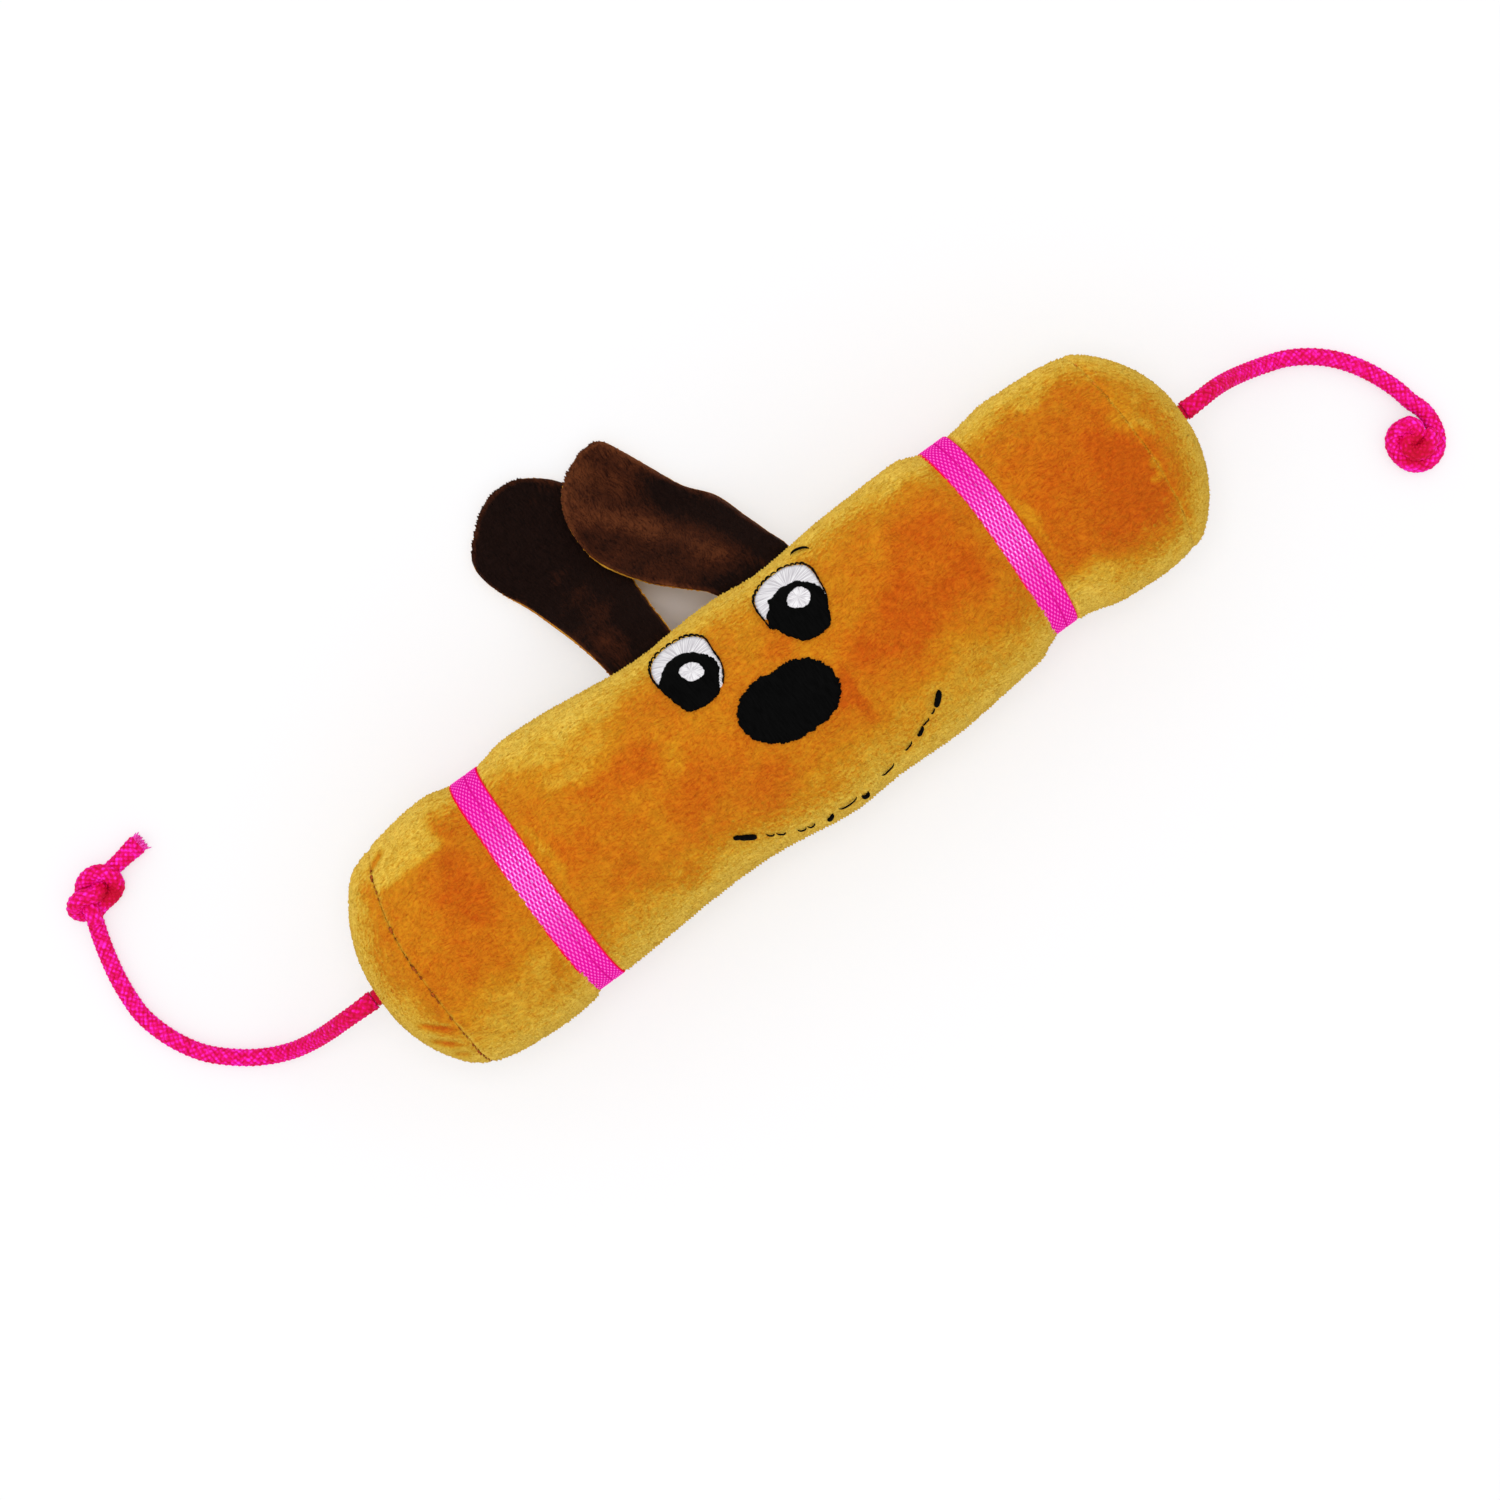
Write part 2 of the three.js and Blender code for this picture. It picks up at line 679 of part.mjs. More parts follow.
// Cords: their routes are points chosen by hand, from the hole in the end panel to the knot.
const leftCordRoute = [
  [-150.4, -0.8, 36.8], [-153.6, -0.8, 36.8], [-157.4, -0.8, 35.7], [-162.8, -0.7, 31], [-169, -0.6, 23],
  [-176.3, 0, 14], [-183.5, 1.4, 7], [-190.1, 3.9, 3.6], [-197, 8, 2.8], [-205.7, 15.7, 2.7],
  [-210.3, 22.5, 2.7], [-213.4, 29.6, 2.7], [-215.3, 37.3, 2.7], [-215.4, 43.5, 2.7], [-214.7, 51.2, 2.7],
  [-213.1, 59, 2.8], [-211.6, 64.5, 3.1],
];
const rightCordRoute = [
  [150.4, -0.3, 34.8], [153.6, -0.3, 34.8], [157.2, -0.2, 33.6], [162.2, 0, 29.2], [168.6, -0.3, 21],
  [176.2, -1.5, 12], [183.4, -3.2, 6], [189.9, -5.3, 3.3], [196.3, -9.05, 2.7], [201.9, -14, 2.7],
  [206.2, -19.6, 2.7], [209.6, -25.8, 2.7], [212.4, -33.2, 2.8], [213.5, -38.5, 3.1],
];
const cordStep = 2 * cordDiameter;

function sectionShape(diameter, sides) {
  const points = [];
  for (let i = 0; i < sides; i += 1) {
    const angle = (i / sides) * 2 * Math.PI;
    points.push(new THREE.Vector2((diameter / 2) * Math.cos(angle), (diameter / 2) * Math.sin(angle)));
  }
  return new THREE.Shape(points);
}

function tubeAlong(points, diameter, sides, steps) {
  const curve = new THREE.CatmullRomCurve3(points, false, 'centripetal');
  return new THREE.ExtrudeGeometry(sectionShape(diameter, sides), { steps, extrudePath: curve });
}

function freeCord(route) {
  const points = route.map(([x, y, z]) => new THREE.Vector3(x, y, z));
  const length = new THREE.CatmullRomCurve3(points, false, 'centripetal').getLength();
  return tubeAlong(points, cordDiameter, cordSides, Math.round(length / cordStep));
}

// An overhand knot, flat on the table: three crossings, each strand going over and under in turn.
// Rows: along, across and height, as shares of the knot's unit and of half its crossing height. The
// second half is the first one turned half way round its middle line.
const halfKnotShares = [
  [-2.4, 1.3, -0.8], [-1.8, 0, -0.95], [-1.25, -1.2, -1], [-0.65, -2.1, 0.2], [0.05, -2.9, 1],
  [1.1, -3.5, 1], [2.2, -3.1, 0.1], [2.1, -2, -0.8], [1.2, -1, -1.05], [0, -0.55, 0],
];
const knotShares = [
  ...halfKnotShares,
  ...halfKnotShares.slice(0, -1).reverse().map(([along, across, height]) => [-along, across, -height]),
];
const knotUnit = 3.45;
const knotCrossing = 3.3;
const knotRiseShare = 1.12;
const knotLeadIn = 3;
const leftKnotTail = [[3, -1.4, -2.2], [7.6, -0.4, -4.4], [11, 0.6, -5.2]];
const knots = [
  { name: 'knot_left', route: leftCordRoute, turn: 12, tail: leftKnotTail },
  { name: 'knot_right', route: rightCordRoute, turn: -155, tail: [] },
];

function knotPoints({ route, turn, tail }) {
  const angle = THREE.MathUtils.degToRad(turn);
  const end = route[route.length - 1];
  const before = route[route.length - 2];
  const heading = new THREE.Vector3(end[0] - before[0], end[1] - before[1], 0).normalize();
  const start = new THREE.Vector3(end[0], end[1], end[2]).addScaledVector(heading, sewnGap);
  const straight = start.clone().addScaledVector(heading, knotLeadIn / 2);
  const entry = start.clone().addScaledVector(heading, knotLeadIn);
  const [startAlong, startAcross] = knotShares[0];
  const lift = knotRiseShare * knotCrossing + knotCordDiameter / 2;
  const points = knotShares.map(([along, across, height]) => {
    const p = (along - startAlong) * knotUnit;
    const q = (startAcross - across) * knotUnit;
    const x = entry.x + p * Math.cos(angle) - q * Math.sin(angle);
    const y = entry.y + p * Math.sin(angle) + q * Math.cos(angle);
    return new THREE.Vector3(x, y, lift + height * knotCrossing);
  });
  const last = points[points.length - 1];
  for (const [x, y, z] of tail) points.push(new THREE.Vector3(last.x + x, last.y + y, last.z + z));
  return [start, straight, ...points];
}

// The least distance between two parts of a knot's centre line that are far apart along it, less the
// cord's thickness there.
function leastGap(points) {
  const curve = new THREE.CatmullRomCurve3(points, false, 'centripetal');
  const count = 6 * knotSteps;
  const samples = curve.getSpacedPoints(count);
  const nearbyShare = 2.2;
  const apart = Math.ceil((nearbyShare * knotCordDiameter * count) / curve.getLength());
  let least = Infinity;
  for (let i = 0; i < samples.length; i += 1) {
    for (let j = i + apart; j < samples.length; j += 1) {
      least = Math.min(least, samples[i].distanceTo(samples[j]));
    }
  }
  return least - knotCordDiameter;
}

// The assembly.
addPart('body_tube', bodyTube(), goldenPlush);
addPart('end_panel_left', endPanel(leftSeam, -1, leftPanelDepth), goldenPlush);
addPart('end_panel_right', endPanel(rightSeam, 1, rightPanelDepth), goldenPlush);
addPart('stuffing', stuffing(), fibreFilling);
addPart('squeaker_bulb', squeakerBulb(), squeakerPlastic);
addPart('squeaker_reed', squeakerReed(), squeakerPlastic);
const corePoints = [cordCentre(leftTip), cordCentre(rightTip)];
addPart('cord_core', tubeAlong(corePoints, cordDiameter, coreSides, 2), pinkCord);
for (const one of bands) addPart(one.name, band(one), pinkWebbing);
const whiteOutline = superellipse(halves(eyeWhiteWidth, eyeWhiteHeight), whitePowerShare);
const irisOutline = superellipse(halves(irisWidth, irisHeight), roundPowerShare);
const glintOutline = superellipse(halves(glintWidth, glintHeight), roundPowerShare);
for (const { side, white, iris, glint } of eyes) {
  const whitePad = cut(patch(white, whiteOutline), patchCutter(iris, irisOutline));
  const irisPad = cut(patch(iris, irisOutline), patchCutter(glint, glintOutline, smallPadPoints));
  addPart(`eye_${side}_white`, whitePad, whiteThread);
  addPart(`eye_${side}_iris`, irisPad, blackThread);
  addPart(`eye_${side}_glint`, patch(glint, glintOutline, smallPadPoints), whiteThread);
}
const noseOutline = superellipse(halves(noseWidth, noseHeight), nosePowerShare, noseTurn);
addPart('nose', patch(faceAt('nose'), noseOutline), blackThread);
addPart('mouth', smile(), blackThread);
const browOutline = superellipse(halves(browLength, browThreadWidth), roundPowerShare, browTurn);
addPart('brow_right', patch(faceAt('brow'), browOutline, smallPadPoints), blackThread);
for (const ear of ears) {
  addPart(`ear_${ear.side}_front`, earPanel(ear, 1), brownPlush);
  addPart(`ear_${ear.side}_back`, earPanel(ear, -1), goldenPlush);
}
addPart('cord_left', freeCord(leftCordRoute), pinkCord);
addPart('cord_right', freeCord(rightCordRoute), pinkCord);
for (const knot of knots) {
  const points = knotPoints(knot);
  console.log(`${knot.name}: least gap to itself ${leastGap(points).toFixed(2)} mm`);
  addPart(knot.name, tubeAlong(points, knotCordDiameter, knotSides, knotSteps), pinkCord);
}

export default group;
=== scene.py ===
# %% [markdown]
# # A plush dog toy
# A stuffed tube of short-pile plush lies on its back, seen from straight above. It has two floppy ears, an
# embroidered face, two webbing bands and a braided cord that leaves it at both ends and ends in knots.
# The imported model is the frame: it holds every size and place, and the cells below give each piece its
# real surface. All lengths here are in millimetres and are turned into metres when a mesh is made.

# %% Load the frame
import functools
import json
import math
import random

import bmesh
import bpy
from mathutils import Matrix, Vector, noise


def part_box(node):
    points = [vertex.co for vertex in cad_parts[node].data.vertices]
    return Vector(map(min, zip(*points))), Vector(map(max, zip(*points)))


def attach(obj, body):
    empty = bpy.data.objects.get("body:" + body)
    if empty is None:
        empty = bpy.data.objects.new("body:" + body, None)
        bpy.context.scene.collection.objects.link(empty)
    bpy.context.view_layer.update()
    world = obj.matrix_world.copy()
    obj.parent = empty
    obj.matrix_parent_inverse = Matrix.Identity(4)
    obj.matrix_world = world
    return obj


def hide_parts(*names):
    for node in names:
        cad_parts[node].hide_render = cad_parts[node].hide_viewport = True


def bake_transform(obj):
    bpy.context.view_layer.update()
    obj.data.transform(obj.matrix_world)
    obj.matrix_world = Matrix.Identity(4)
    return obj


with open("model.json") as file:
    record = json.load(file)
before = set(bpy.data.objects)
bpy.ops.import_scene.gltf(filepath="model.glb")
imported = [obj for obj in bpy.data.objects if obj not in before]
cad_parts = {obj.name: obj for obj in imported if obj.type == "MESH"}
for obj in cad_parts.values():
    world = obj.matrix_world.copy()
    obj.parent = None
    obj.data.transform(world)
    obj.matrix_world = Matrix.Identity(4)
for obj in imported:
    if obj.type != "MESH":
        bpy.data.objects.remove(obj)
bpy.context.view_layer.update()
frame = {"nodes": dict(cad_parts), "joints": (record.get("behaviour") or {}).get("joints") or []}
MM = 0.001

# %% [markdown]
# ## Camera
# The picture was taken from straight above, from about 1.1 m over the middle of the toy, so the long lens
# keeps its ends from swelling. The camera could be aimed by eye, but here its height, the width that it
# sees and its turn are the measured ones, so that pieces can be compared place by place.

# %% Camera
CAMERA_PLACE = (-15, -6.3)
AXIS_HEIGHT = 37
CAMERA_DISTANCE = 1110
SEEN_WIDTH = 450
SENSOR_WIDTH = 36
CAMERA_TURN = -35.9

camera_data = bpy.data.cameras.new("camera")
camera_data.sensor_width = SENSOR_WIDTH
camera_data.lens = SENSOR_WIDTH * CAMERA_DISTANCE / SEEN_WIDTH
camera = bpy.data.objects.new("camera", camera_data)
camera.location = Vector((*CAMERA_PLACE, AXIS_HEIGHT + CAMERA_DISTANCE)) * MM
camera.rotation_euler = (0, 0, math.radians(CAMERA_TURN))
bpy.context.scene.collection.objects.link(camera)
bpy.context.scene.camera = camera
print("Lens in mm:", round(camera_data.lens, 1))

# %% [markdown]
# ## Small helpers
# Three things are needed again and again: a colour from its hex value, a node with its settings and links,
# and a smooth line through a few points. The commonest nodes also have a short form of their own, built on
# the one that adds them all. A line through points could be a Blender curve, but a list of evenly spaced
# points is easier to hang a braid or a stitch on.

# %% Colours and nodes
def linear(hex_value):
    """The linear colour of an sRGB hex value such as "D6A32E"."""
    shares = [int(hex_value[i:i + 2], 16) / 255 for i in (0, 2, 4)]
    return (*[s / 12.92 if s <= 0.04045 else ((s + 0.055) / 1.055) ** 2.4 for s in shares], 1)


def add(tree, kind, inputs=None, **settings):
    """Adds a node. inputs gives, by name or number, a value to set or an output to link from."""
    node = tree.nodes.new(kind)
    for name, value in settings.items():
        setattr(node, name, value)
    for name, value in (inputs or {}).items():
        if isinstance(value, bpy.types.NodeSocket):
            tree.links.new(value, node.inputs[name])
        else:
            node.inputs[name].default_value = value
    return node


def calculate(tree, operation, *values):
    return add(tree, "ShaderNodeMath", dict(enumerate(values)), operation=operation).outputs[0]


def map_range(tree, value, low, high, to_low=0, to_high=1):
    """Carries a value from one range over to another, and holds it at the ends."""
    ends = {"From Min": low, "From Max": high, "To Min": to_low, "To Max": to_high}
    return add(tree, "ShaderNodeMapRange", {"Value": value, **ends}).outputs[0]


def ramp(tree, value, *rows):
    """The colour at a value, between (place, hex colour) stops."""
    node = add(tree, "ShaderNodeValToRGB", {"Fac": value})
    stops = node.color_ramp.elements
    while len(stops) < len(rows):
        stops.new(0.5)
    for stop, (place, colour) in zip(stops, rows):
        stop.position = place
        stop.color = linear(colour)
    return node.outputs["Color"]


def mix_colours(tree, share, first, second, blend_type="MIX"):
    return add(tree, "ShaderNodeMix", {"Factor": share, "A": first, "B": second}, data_type="RGBA",
               blend_type=blend_type).outputs["Result"]


def lumps(tree, place, size, **inputs):
    """A noise with lumps of a size in mm."""
    return add(tree, "ShaderNodeTexNoise", {"Vector": place, "Scale": 1 / (size * MM), **inputs})


def object_place(tree):
    return add(tree, "ShaderNodeTexCoord").outputs["Object"]


def start_material(name, **values):
    """A new material with its Principled shader, whose plain sockets take the values given."""
    material = bpy.data.materials.new(name)
    material.use_nodes = True
    shader = material.node_tree.nodes["Principled BSDF"]
    for socket, value in values.items():
        shader.inputs[socket.replace("_", " ")].default_value = value
    return material, material.node_tree, shader


def finish_surface(tree, shader, colour, height=None, strength=0.5, relief=0.2):
    """Links the colour, and a bump as strong and as high in mm as given."""
    tree.links.new(colour, shader.inputs["Base Color"])
    if height:
        bump = add(tree, "ShaderNodeBump", {"Height": height, "Strength": strength, "Distance": relief * MM})
        tree.links.new(bump.outputs["Normal"], shader.inputs["Normal"])


def mottled(name, size, stops, noise_inputs=None, bump=None, **values):
    """A material whose colour wanders between two stops in lumps of a size in mm. bump gives, where there
    is one, how strong and how high it is."""
    material, tree, shader = start_material(name, **values)
    height = lumps(tree, object_place(tree), size, **(noise_inputs or {})).outputs["Fac"]
    colour = ramp(tree, height, *stops)
    if bump:
        finish_surface(tree, shader, colour, height, *bump)
    else:
        finish_surface(tree, shader, colour)
    return material


# %% A smooth line through points
def smooth_line(points, count, closed=False):
    """count evenly spaced points on a smooth curve through the given ones, which bends least at them."""
    given = [Vector(p).to_3d() for p in points]
    if closed:
        given = [given[-1], *given, given[0], given[1]]
    else:
        given = [2 * given[0] - given[1], *given, 2 * given[-1] - given[-2]]
    fine = []
    steps = 16
    for a, b, c, d in zip(given, given[1:], given[2:], given[3:]):
        ab, bc, cd = [math.sqrt((q - p).length) for p, q in ((a, b), (b, c), (c, d))]
        start = (b - a) / ab - (c - a) / (ab + bc) + (c - b) / bc
        end = (c - b) / bc - (d - b) / (bc + cd) + (d - c) / cd
        start, end = start * bc, end * bc
        for i in range(steps):
            t = i / steps
            fine.append(b * (1 + 2 * t) * (1 - t) ** 2 + start * t * (1 - t) ** 2
                        + c * t * t * (3 - 2 * t) + end * t * t * (t - 1))
    fine.append(given[-2])
    reached = [0]
    for p, q in zip(fine, fine[1:]):
        reached.append(reached[-1] + (q - p).length)
    line = []
    k = 0
    for i in range(count):
        want = reached[-1] * i / (count if closed else count - 1)
        while k < len(fine) - 2 and reached[k + 1] < want:
            k += 1
        span = reached[k + 1] - reached[k]
        line.append(fine[k].lerp(fine[k + 1], (want - reached[k]) / span if span else 0))
    return line


def line_length(line):
    return sum((q - p).length for p, q in zip(line, line[1:]))


def spaced_line(points, spacing):
    """A smooth line through the given points, whose own points lie about a spacing apart."""
    return smooth_line(points, round(line_length(smooth_line(points, 200)) / spacing))


def smooth_step(low, high, value):
    t = min(max((value - low) / (high - low), 0), 1)
    return t * t * (3 - 2 * t)


def bell(aside, width):
    """1 where aside is 0, and falling to 0 over about twice the width."""
    return math.exp(-((aside / width) ** 2))


# %% [markdown]
# ## Cloth from a grid
# Plush, webbing and cords are all made of flat stuff that is bent round something. So each piece starts
# as one flat grid, whose corners get their place from a function of where they are on the cloth. The UV
# map keeps the flat place in millimetres, so a weave follows the cloth. Meeting edges are merged after.

# %% Grids
MERGE_REACH = 0.002


def grid_mesh(across, along, place, size):
    """A bmesh grid: place(u, v) gives the point in mm for shares u and v, and size is its flat size."""
    mesh = bmesh.new()
    uv = mesh.loops.layers.uv.new("UVMap")
    bmesh.ops.create_grid(mesh, x_segments=across, y_segments=along, size=0.5)
    for face in mesh.faces:
        for loop in face.loops:
            share = loop.vert.co
            loop[uv].uv = ((share.x + 0.5) * size[0], (share.y + 0.5) * size[1])
    for vert in mesh.verts:
        vert.co = Vector(place(vert.co.x + 0.5, vert.co.y + 0.5)) * MM
    return mesh


def close_up(mesh):
    """Merges the edges that meet, and turns all faces outwards."""
    bmesh.ops.remove_doubles(mesh, verts=mesh.verts, dist=MERGE_REACH * MM)
    bmesh.ops.recalc_face_normals(mesh, faces=mesh.faces)
    return mesh


def new_object(mesh, name, material):
    """Turns a bmesh into an object of the scene."""
    data = bpy.data.meshes.new(name)
    mesh.to_mesh(data)
    mesh.free()
    data.materials.append(material)
    piece = bpy.data.objects.new(name, data)
    bpy.context.scene.collection.objects.link(piece)
    return piece


def finish_piece(mesh, name, material, body, replaced=()):
    """Turns a bmesh into a smooth object that rides on a body and stands for the given nodes."""
    piece = new_object(mesh, name, material)
    for polygon in piece.data.polygons:
        polygon.use_smooth = True
    if body:
        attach(piece, body)
    if replaced:
        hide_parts(*replaced)
    print(name, len(piece.data.vertices), "corners")
    return piece


# %% [markdown]
# ## The shape of the body
# The plush tube is an oval that swells and draws in along its length, with a table of shares of its
# radius, as the pattern of the solids has them. Both ends go on as domes. All of it is one skin, so
# that everything sewn to the body can be laid on the same surface, and so that the seams are only lines
# on it. A place on the skin is a distance along the cloth, which is x on the tube, and an angle round it.

# %% Sizes of the body
BODY_RADIUS = 39.6
REST_DEPTH = 0.5
FLOOR_GAP = 0.15
WIDTH_SHARES = [
    (0, 0.896), (0.019, 0.937), (0.036, 0.962), (0.087, 1), (0.122, 0.995), (0.163, 0.977),
    (0.208, 0.967), (0.259, 0.954), (0.311, 0.927), (0.397, 0.899), (0.502, 0.957), (0.569, 0.927),
    (0.655, 0.952), (0.724, 0.944), (0.775, 0.929), (0.821, 0.911), (0.861, 0.906), (0.93, 0.911),
    (0.964, 0.904), (1, 0.866)]
HEIGHT_SHARES = [
    (0, 0.885), (0.036, 0.94), (0.087, 0.965), (0.3, 0.935), (0.5, 0.94), (0.75, 0.935), (0.93, 0.905),
    (0.964, 0.894), (1, 0.86)]
REST_SHARES = [
    (0, 0.945), (0.036, 0.957), (0.087, 0.965), (0.3, 0.935), (0.5, 0.94), (0.75, 0.935), (0.93, 0.905),
    (0.964, 0.9), (1, 0.893)]
SWAY_SHARES = [
    (0, -0.028), (0.105, 0), (0.277, 0.033), (0.414, -0.01), (0.567, -0.037), (0.689, -0.008), (0.773, 0.034),
    (0.842, 0.046), (0.945, -0.004), (1, -0.01)]

tube_low, tube_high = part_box("body_tube")
SEAM = {"left": tube_low.x / MM, "right": tube_high.x / MM}
TIP = {"left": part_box("end_panel_left")[0].x / MM, "right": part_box("end_panel_right")[1].x / MM}
OUTWARD = {"left": -1, "right": 1}


def band_facts(node, shift, width, pinch, reach):
    """A band's place and width, how far it draws in the ear side and the other side of the body, and
    how far that reaches to its left and right."""
    low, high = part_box(node)
    return {"node": node, "place": (low.x + high.x) / 2 / MM + shift, "width": width, "pinch": pinch,
            "reach": reach}


BANDS = [band_facts("band_left", -0.6, 10.4, (2.9, 1.4), (8, 11)),
         band_facts("band_right", -0.2, 10.1, (3.5, 3.5), (8, 15))]
WEB_FLUSH = 1.1
WEB_UNDERCUT = 0.8
print("Seams at", {side: round(x, 1) for side, x in SEAM.items()})


# %% The tube's oval
def read_table(table, at):
    """Reads a table of (at, value) rows, smooth between its rows."""
    i = 0
    while i < len(table) - 2 and at > table[i + 1][0]:
        i += 1

    def slope(k):
        before, after = table[max(k - 1, 0)], table[min(k + 1, len(table) - 1)]
        return (after[1] - before[1]) / (after[0] - before[0])

    (x0, y0), (x1, y1) = table[i], table[i + 1]
    t = min(max((at - x0) / (x1 - x0), 0), 1)
    rise = (x1 - x0) * t * (1 - t) * ((1 - t) * slope(i) - t * slope(i + 1))
    return y0 + (y1 - y0) * t * t * (3 - 2 * t) + rise


def oval(x, drawn, far_drawn):
    """Half width, half height, and y and z of the middle, with both sides drawn in by so many mm."""
    share = min(max((x - SEAM["left"]) / (SEAM["right"] - SEAM["left"]), 0), 1)
    return (BODY_RADIUS * read_table(WIDTH_SHARES, share) - (drawn + far_drawn) / 2,
            BODY_RADIUS * read_table(HEIGHT_SHARES, share) - drawn,
            BODY_RADIUS * read_table(SWAY_SHARES, share) + (far_drawn - drawn) / 2,
            BODY_RADIUS * read_table(REST_SHARES, share) - REST_DEPTH)


@functools.lru_cache(maxsize=None)
def section(x):
    """The oval of the plush: flush with a band beside it, and under the webbing where that lies on it."""
    drawn = [0, 0]
    for band in BANDS:
        beside = abs(x - band["place"]) - band["width"] / 2
        reach = band["reach"][0 if x < band["place"] else 1]
        for k in (0, 1):
            drawn[k] += (band["pinch"][k] - WEB_FLUSH) * (1 - smooth_step(0, reach, beside))
            drawn[k] += WEB_FLUSH * (1 - smooth_step(-WEB_UNDERCUT, 0, beside))
    return oval(x, *drawn)


# %% The domes
DOME_POWER = 1.3
DOME_SPARE = {"left": 1.38, "right": 0.9}
DOME_LEAN = {"left": -1.0, "right": 0}
CORD_HOLE = 3
DOME_STEPS = 240


def dome_rows(side):
    """Rows of (distance over the cloth, share of the radius, share of the depth), from seam to hole."""
    radius = section(SEAM[side])[0]
    depth = abs(TIP[side] - SEAM[side]) - DOME_SPARE[side]
    rows = [(0, 1, 0)]
    for i in range(1, DOME_STEPS + 1):
        turn = math.pi / 2 * i / DOME_STEPS
        share, rise = math.cos(turn), math.sin(turn) ** (2 / DOME_POWER)
        step = math.hypot((share - rows[-1][1]) * radius, (rise - rows[-1][2]) * depth)
        rows.append((rows[-1][0] + step, share, rise))
    return depth, rows


DOMES = {side: dome_rows(side) for side in ("left", "right")}


def dome_reach(side):
    """The distance over the cloth from the seam to the edge of the hole."""
    radius = section(SEAM[side])[0]
    return next(way for way, share, _ in DOMES[side][1] if share * radius <= CORD_HOLE)


def dome_at(side, way):
    rows = DOMES[side][1]
    low, high = 0, len(rows) - 1
    while high - low > 1:
        middle = (low + high) // 2
        low, high = (middle, high) if rows[middle][0] <= way else (low, middle)
    t = min((way - rows[low][0]) / (rows[high][0] - rows[low][0]), 1)
    return [rows[low][k] + (rows[high][k] - rows[low][k]) * t for k in (1, 2)]


# %% [markdown]
# Real plush also has soft lumps where the fibre balls up, a shallow groove at each seam, puckers where a
# longer edge was eased onto a shorter one, and a few creases. A cloth simulation could find these, but
# then they wouldn't be where the real ones are. So they are small moves of the skin along its normal.

# %% Lumps, grooves, puckers and creases
LUMP_SIZE = 34
LUMP_HEIGHT = 0.6
SEAM_DRAWN = {"left": (6.8, -0.9), "right": (-0.7, -2.4)}
SEAM_GROOVE = {"left": 0.7, "right": 0.35}
SEAM_GROOVE_WIDTH = 0.9
PUCKER_WAVES = 3.4
PUCKER_LENGTH = 60
PUCKER_HEIGHT = 0.45
PUCKER_REACH = 8
PUCKER_START = 1.5
SIDE_SEAM_ANGLE = math.radians(99)
SIDE_SEAM_GROOVE = 1.1
DIMPLE = 1.2
DIMPLE_REACH = 4
CREASE_WIDTH = 1
CREASE_ENDS = 0.3
# Rows of a crease: start and end on the plan, and depth.
CREASES = [
    ((-141.5, -14.6), (-133.2, -21.4), 0.9), ((-142, -20.6), (-135, -26.1), 0.8),
    ((-139, -28), (-134.4, -30.8), 0.6), ((-127, 30.3), (-120.5, 33.4), 0.9)]


@functools.lru_cache(maxsize=None)
def seam_at(side, angle):
    """Where the seam of an end panel runs on the skin: its ear side and its far side were drawn in."""
    lean = math.sin(angle)
    return SEAM[side] + SEAM_DRAWN[side][0 if lean > 0 else 1] * lean * lean


def give(base, along, angle):
    """How far the plush stands out of the plain skin at a point."""
    lump = LUMP_HEIGHT * noise.noise(base / LUMP_SIZE)
    turned = Vector((math.cos(angle), math.sin(angle), 0)) * PUCKER_WAVES
    wave = noise.noise(turned + Vector((0, 0, along / PUCKER_LENGTH)))
    side = "left" if along < 0 else "right"
    from_seam = abs(along - seam_at(side, angle))
    depth = SEAM_GROOVE[side] * bell(from_seam, SEAM_GROOVE_WIDTH)
    pucker = math.exp(-from_seam / PUCKER_REACH)
    for band in BANDS:
        beside = abs(along - band["place"]) - band["width"] / 2
        if 0 < beside < PUCKER_REACH * 2:
            pucker += math.exp(-beside / PUCKER_REACH) * smooth_step(0, PUCKER_START, beside)
    if SEAM["left"] < along < SEAM["right"]:
        depth += SIDE_SEAM_GROOVE * bell((angle - SIDE_SEAM_ANGLE) * BODY_RADIUS, SEAM_GROOVE_WIDTH)
    return lump + PUCKER_HEIGHT * wave * pucker - depth - crease_at(base)


def crease_at(base):
    """The depth of the creases, which were read off the upper half of the toy."""
    depth = 0
    if base.z > AXIS_HEIGHT:
        for start, end, deep in CREASES:
            a, b = Vector(start), Vector(end)
            share = min(max((base.xy - a).dot(b - a) / (b - a).length_squared, 0), 1)
            aside = (base.xy - a.lerp(b, share)).length
            if aside < 3 * CREASE_WIDTH:
                depth += deep * bell(aside, CREASE_WIDTH) * min(4 * share * (1 - share) + CREASE_ENDS, 1)
    return depth


# %% The skin
LEAN_START = (1, 0.8)
LEAN_END = (0.1, 0.35)


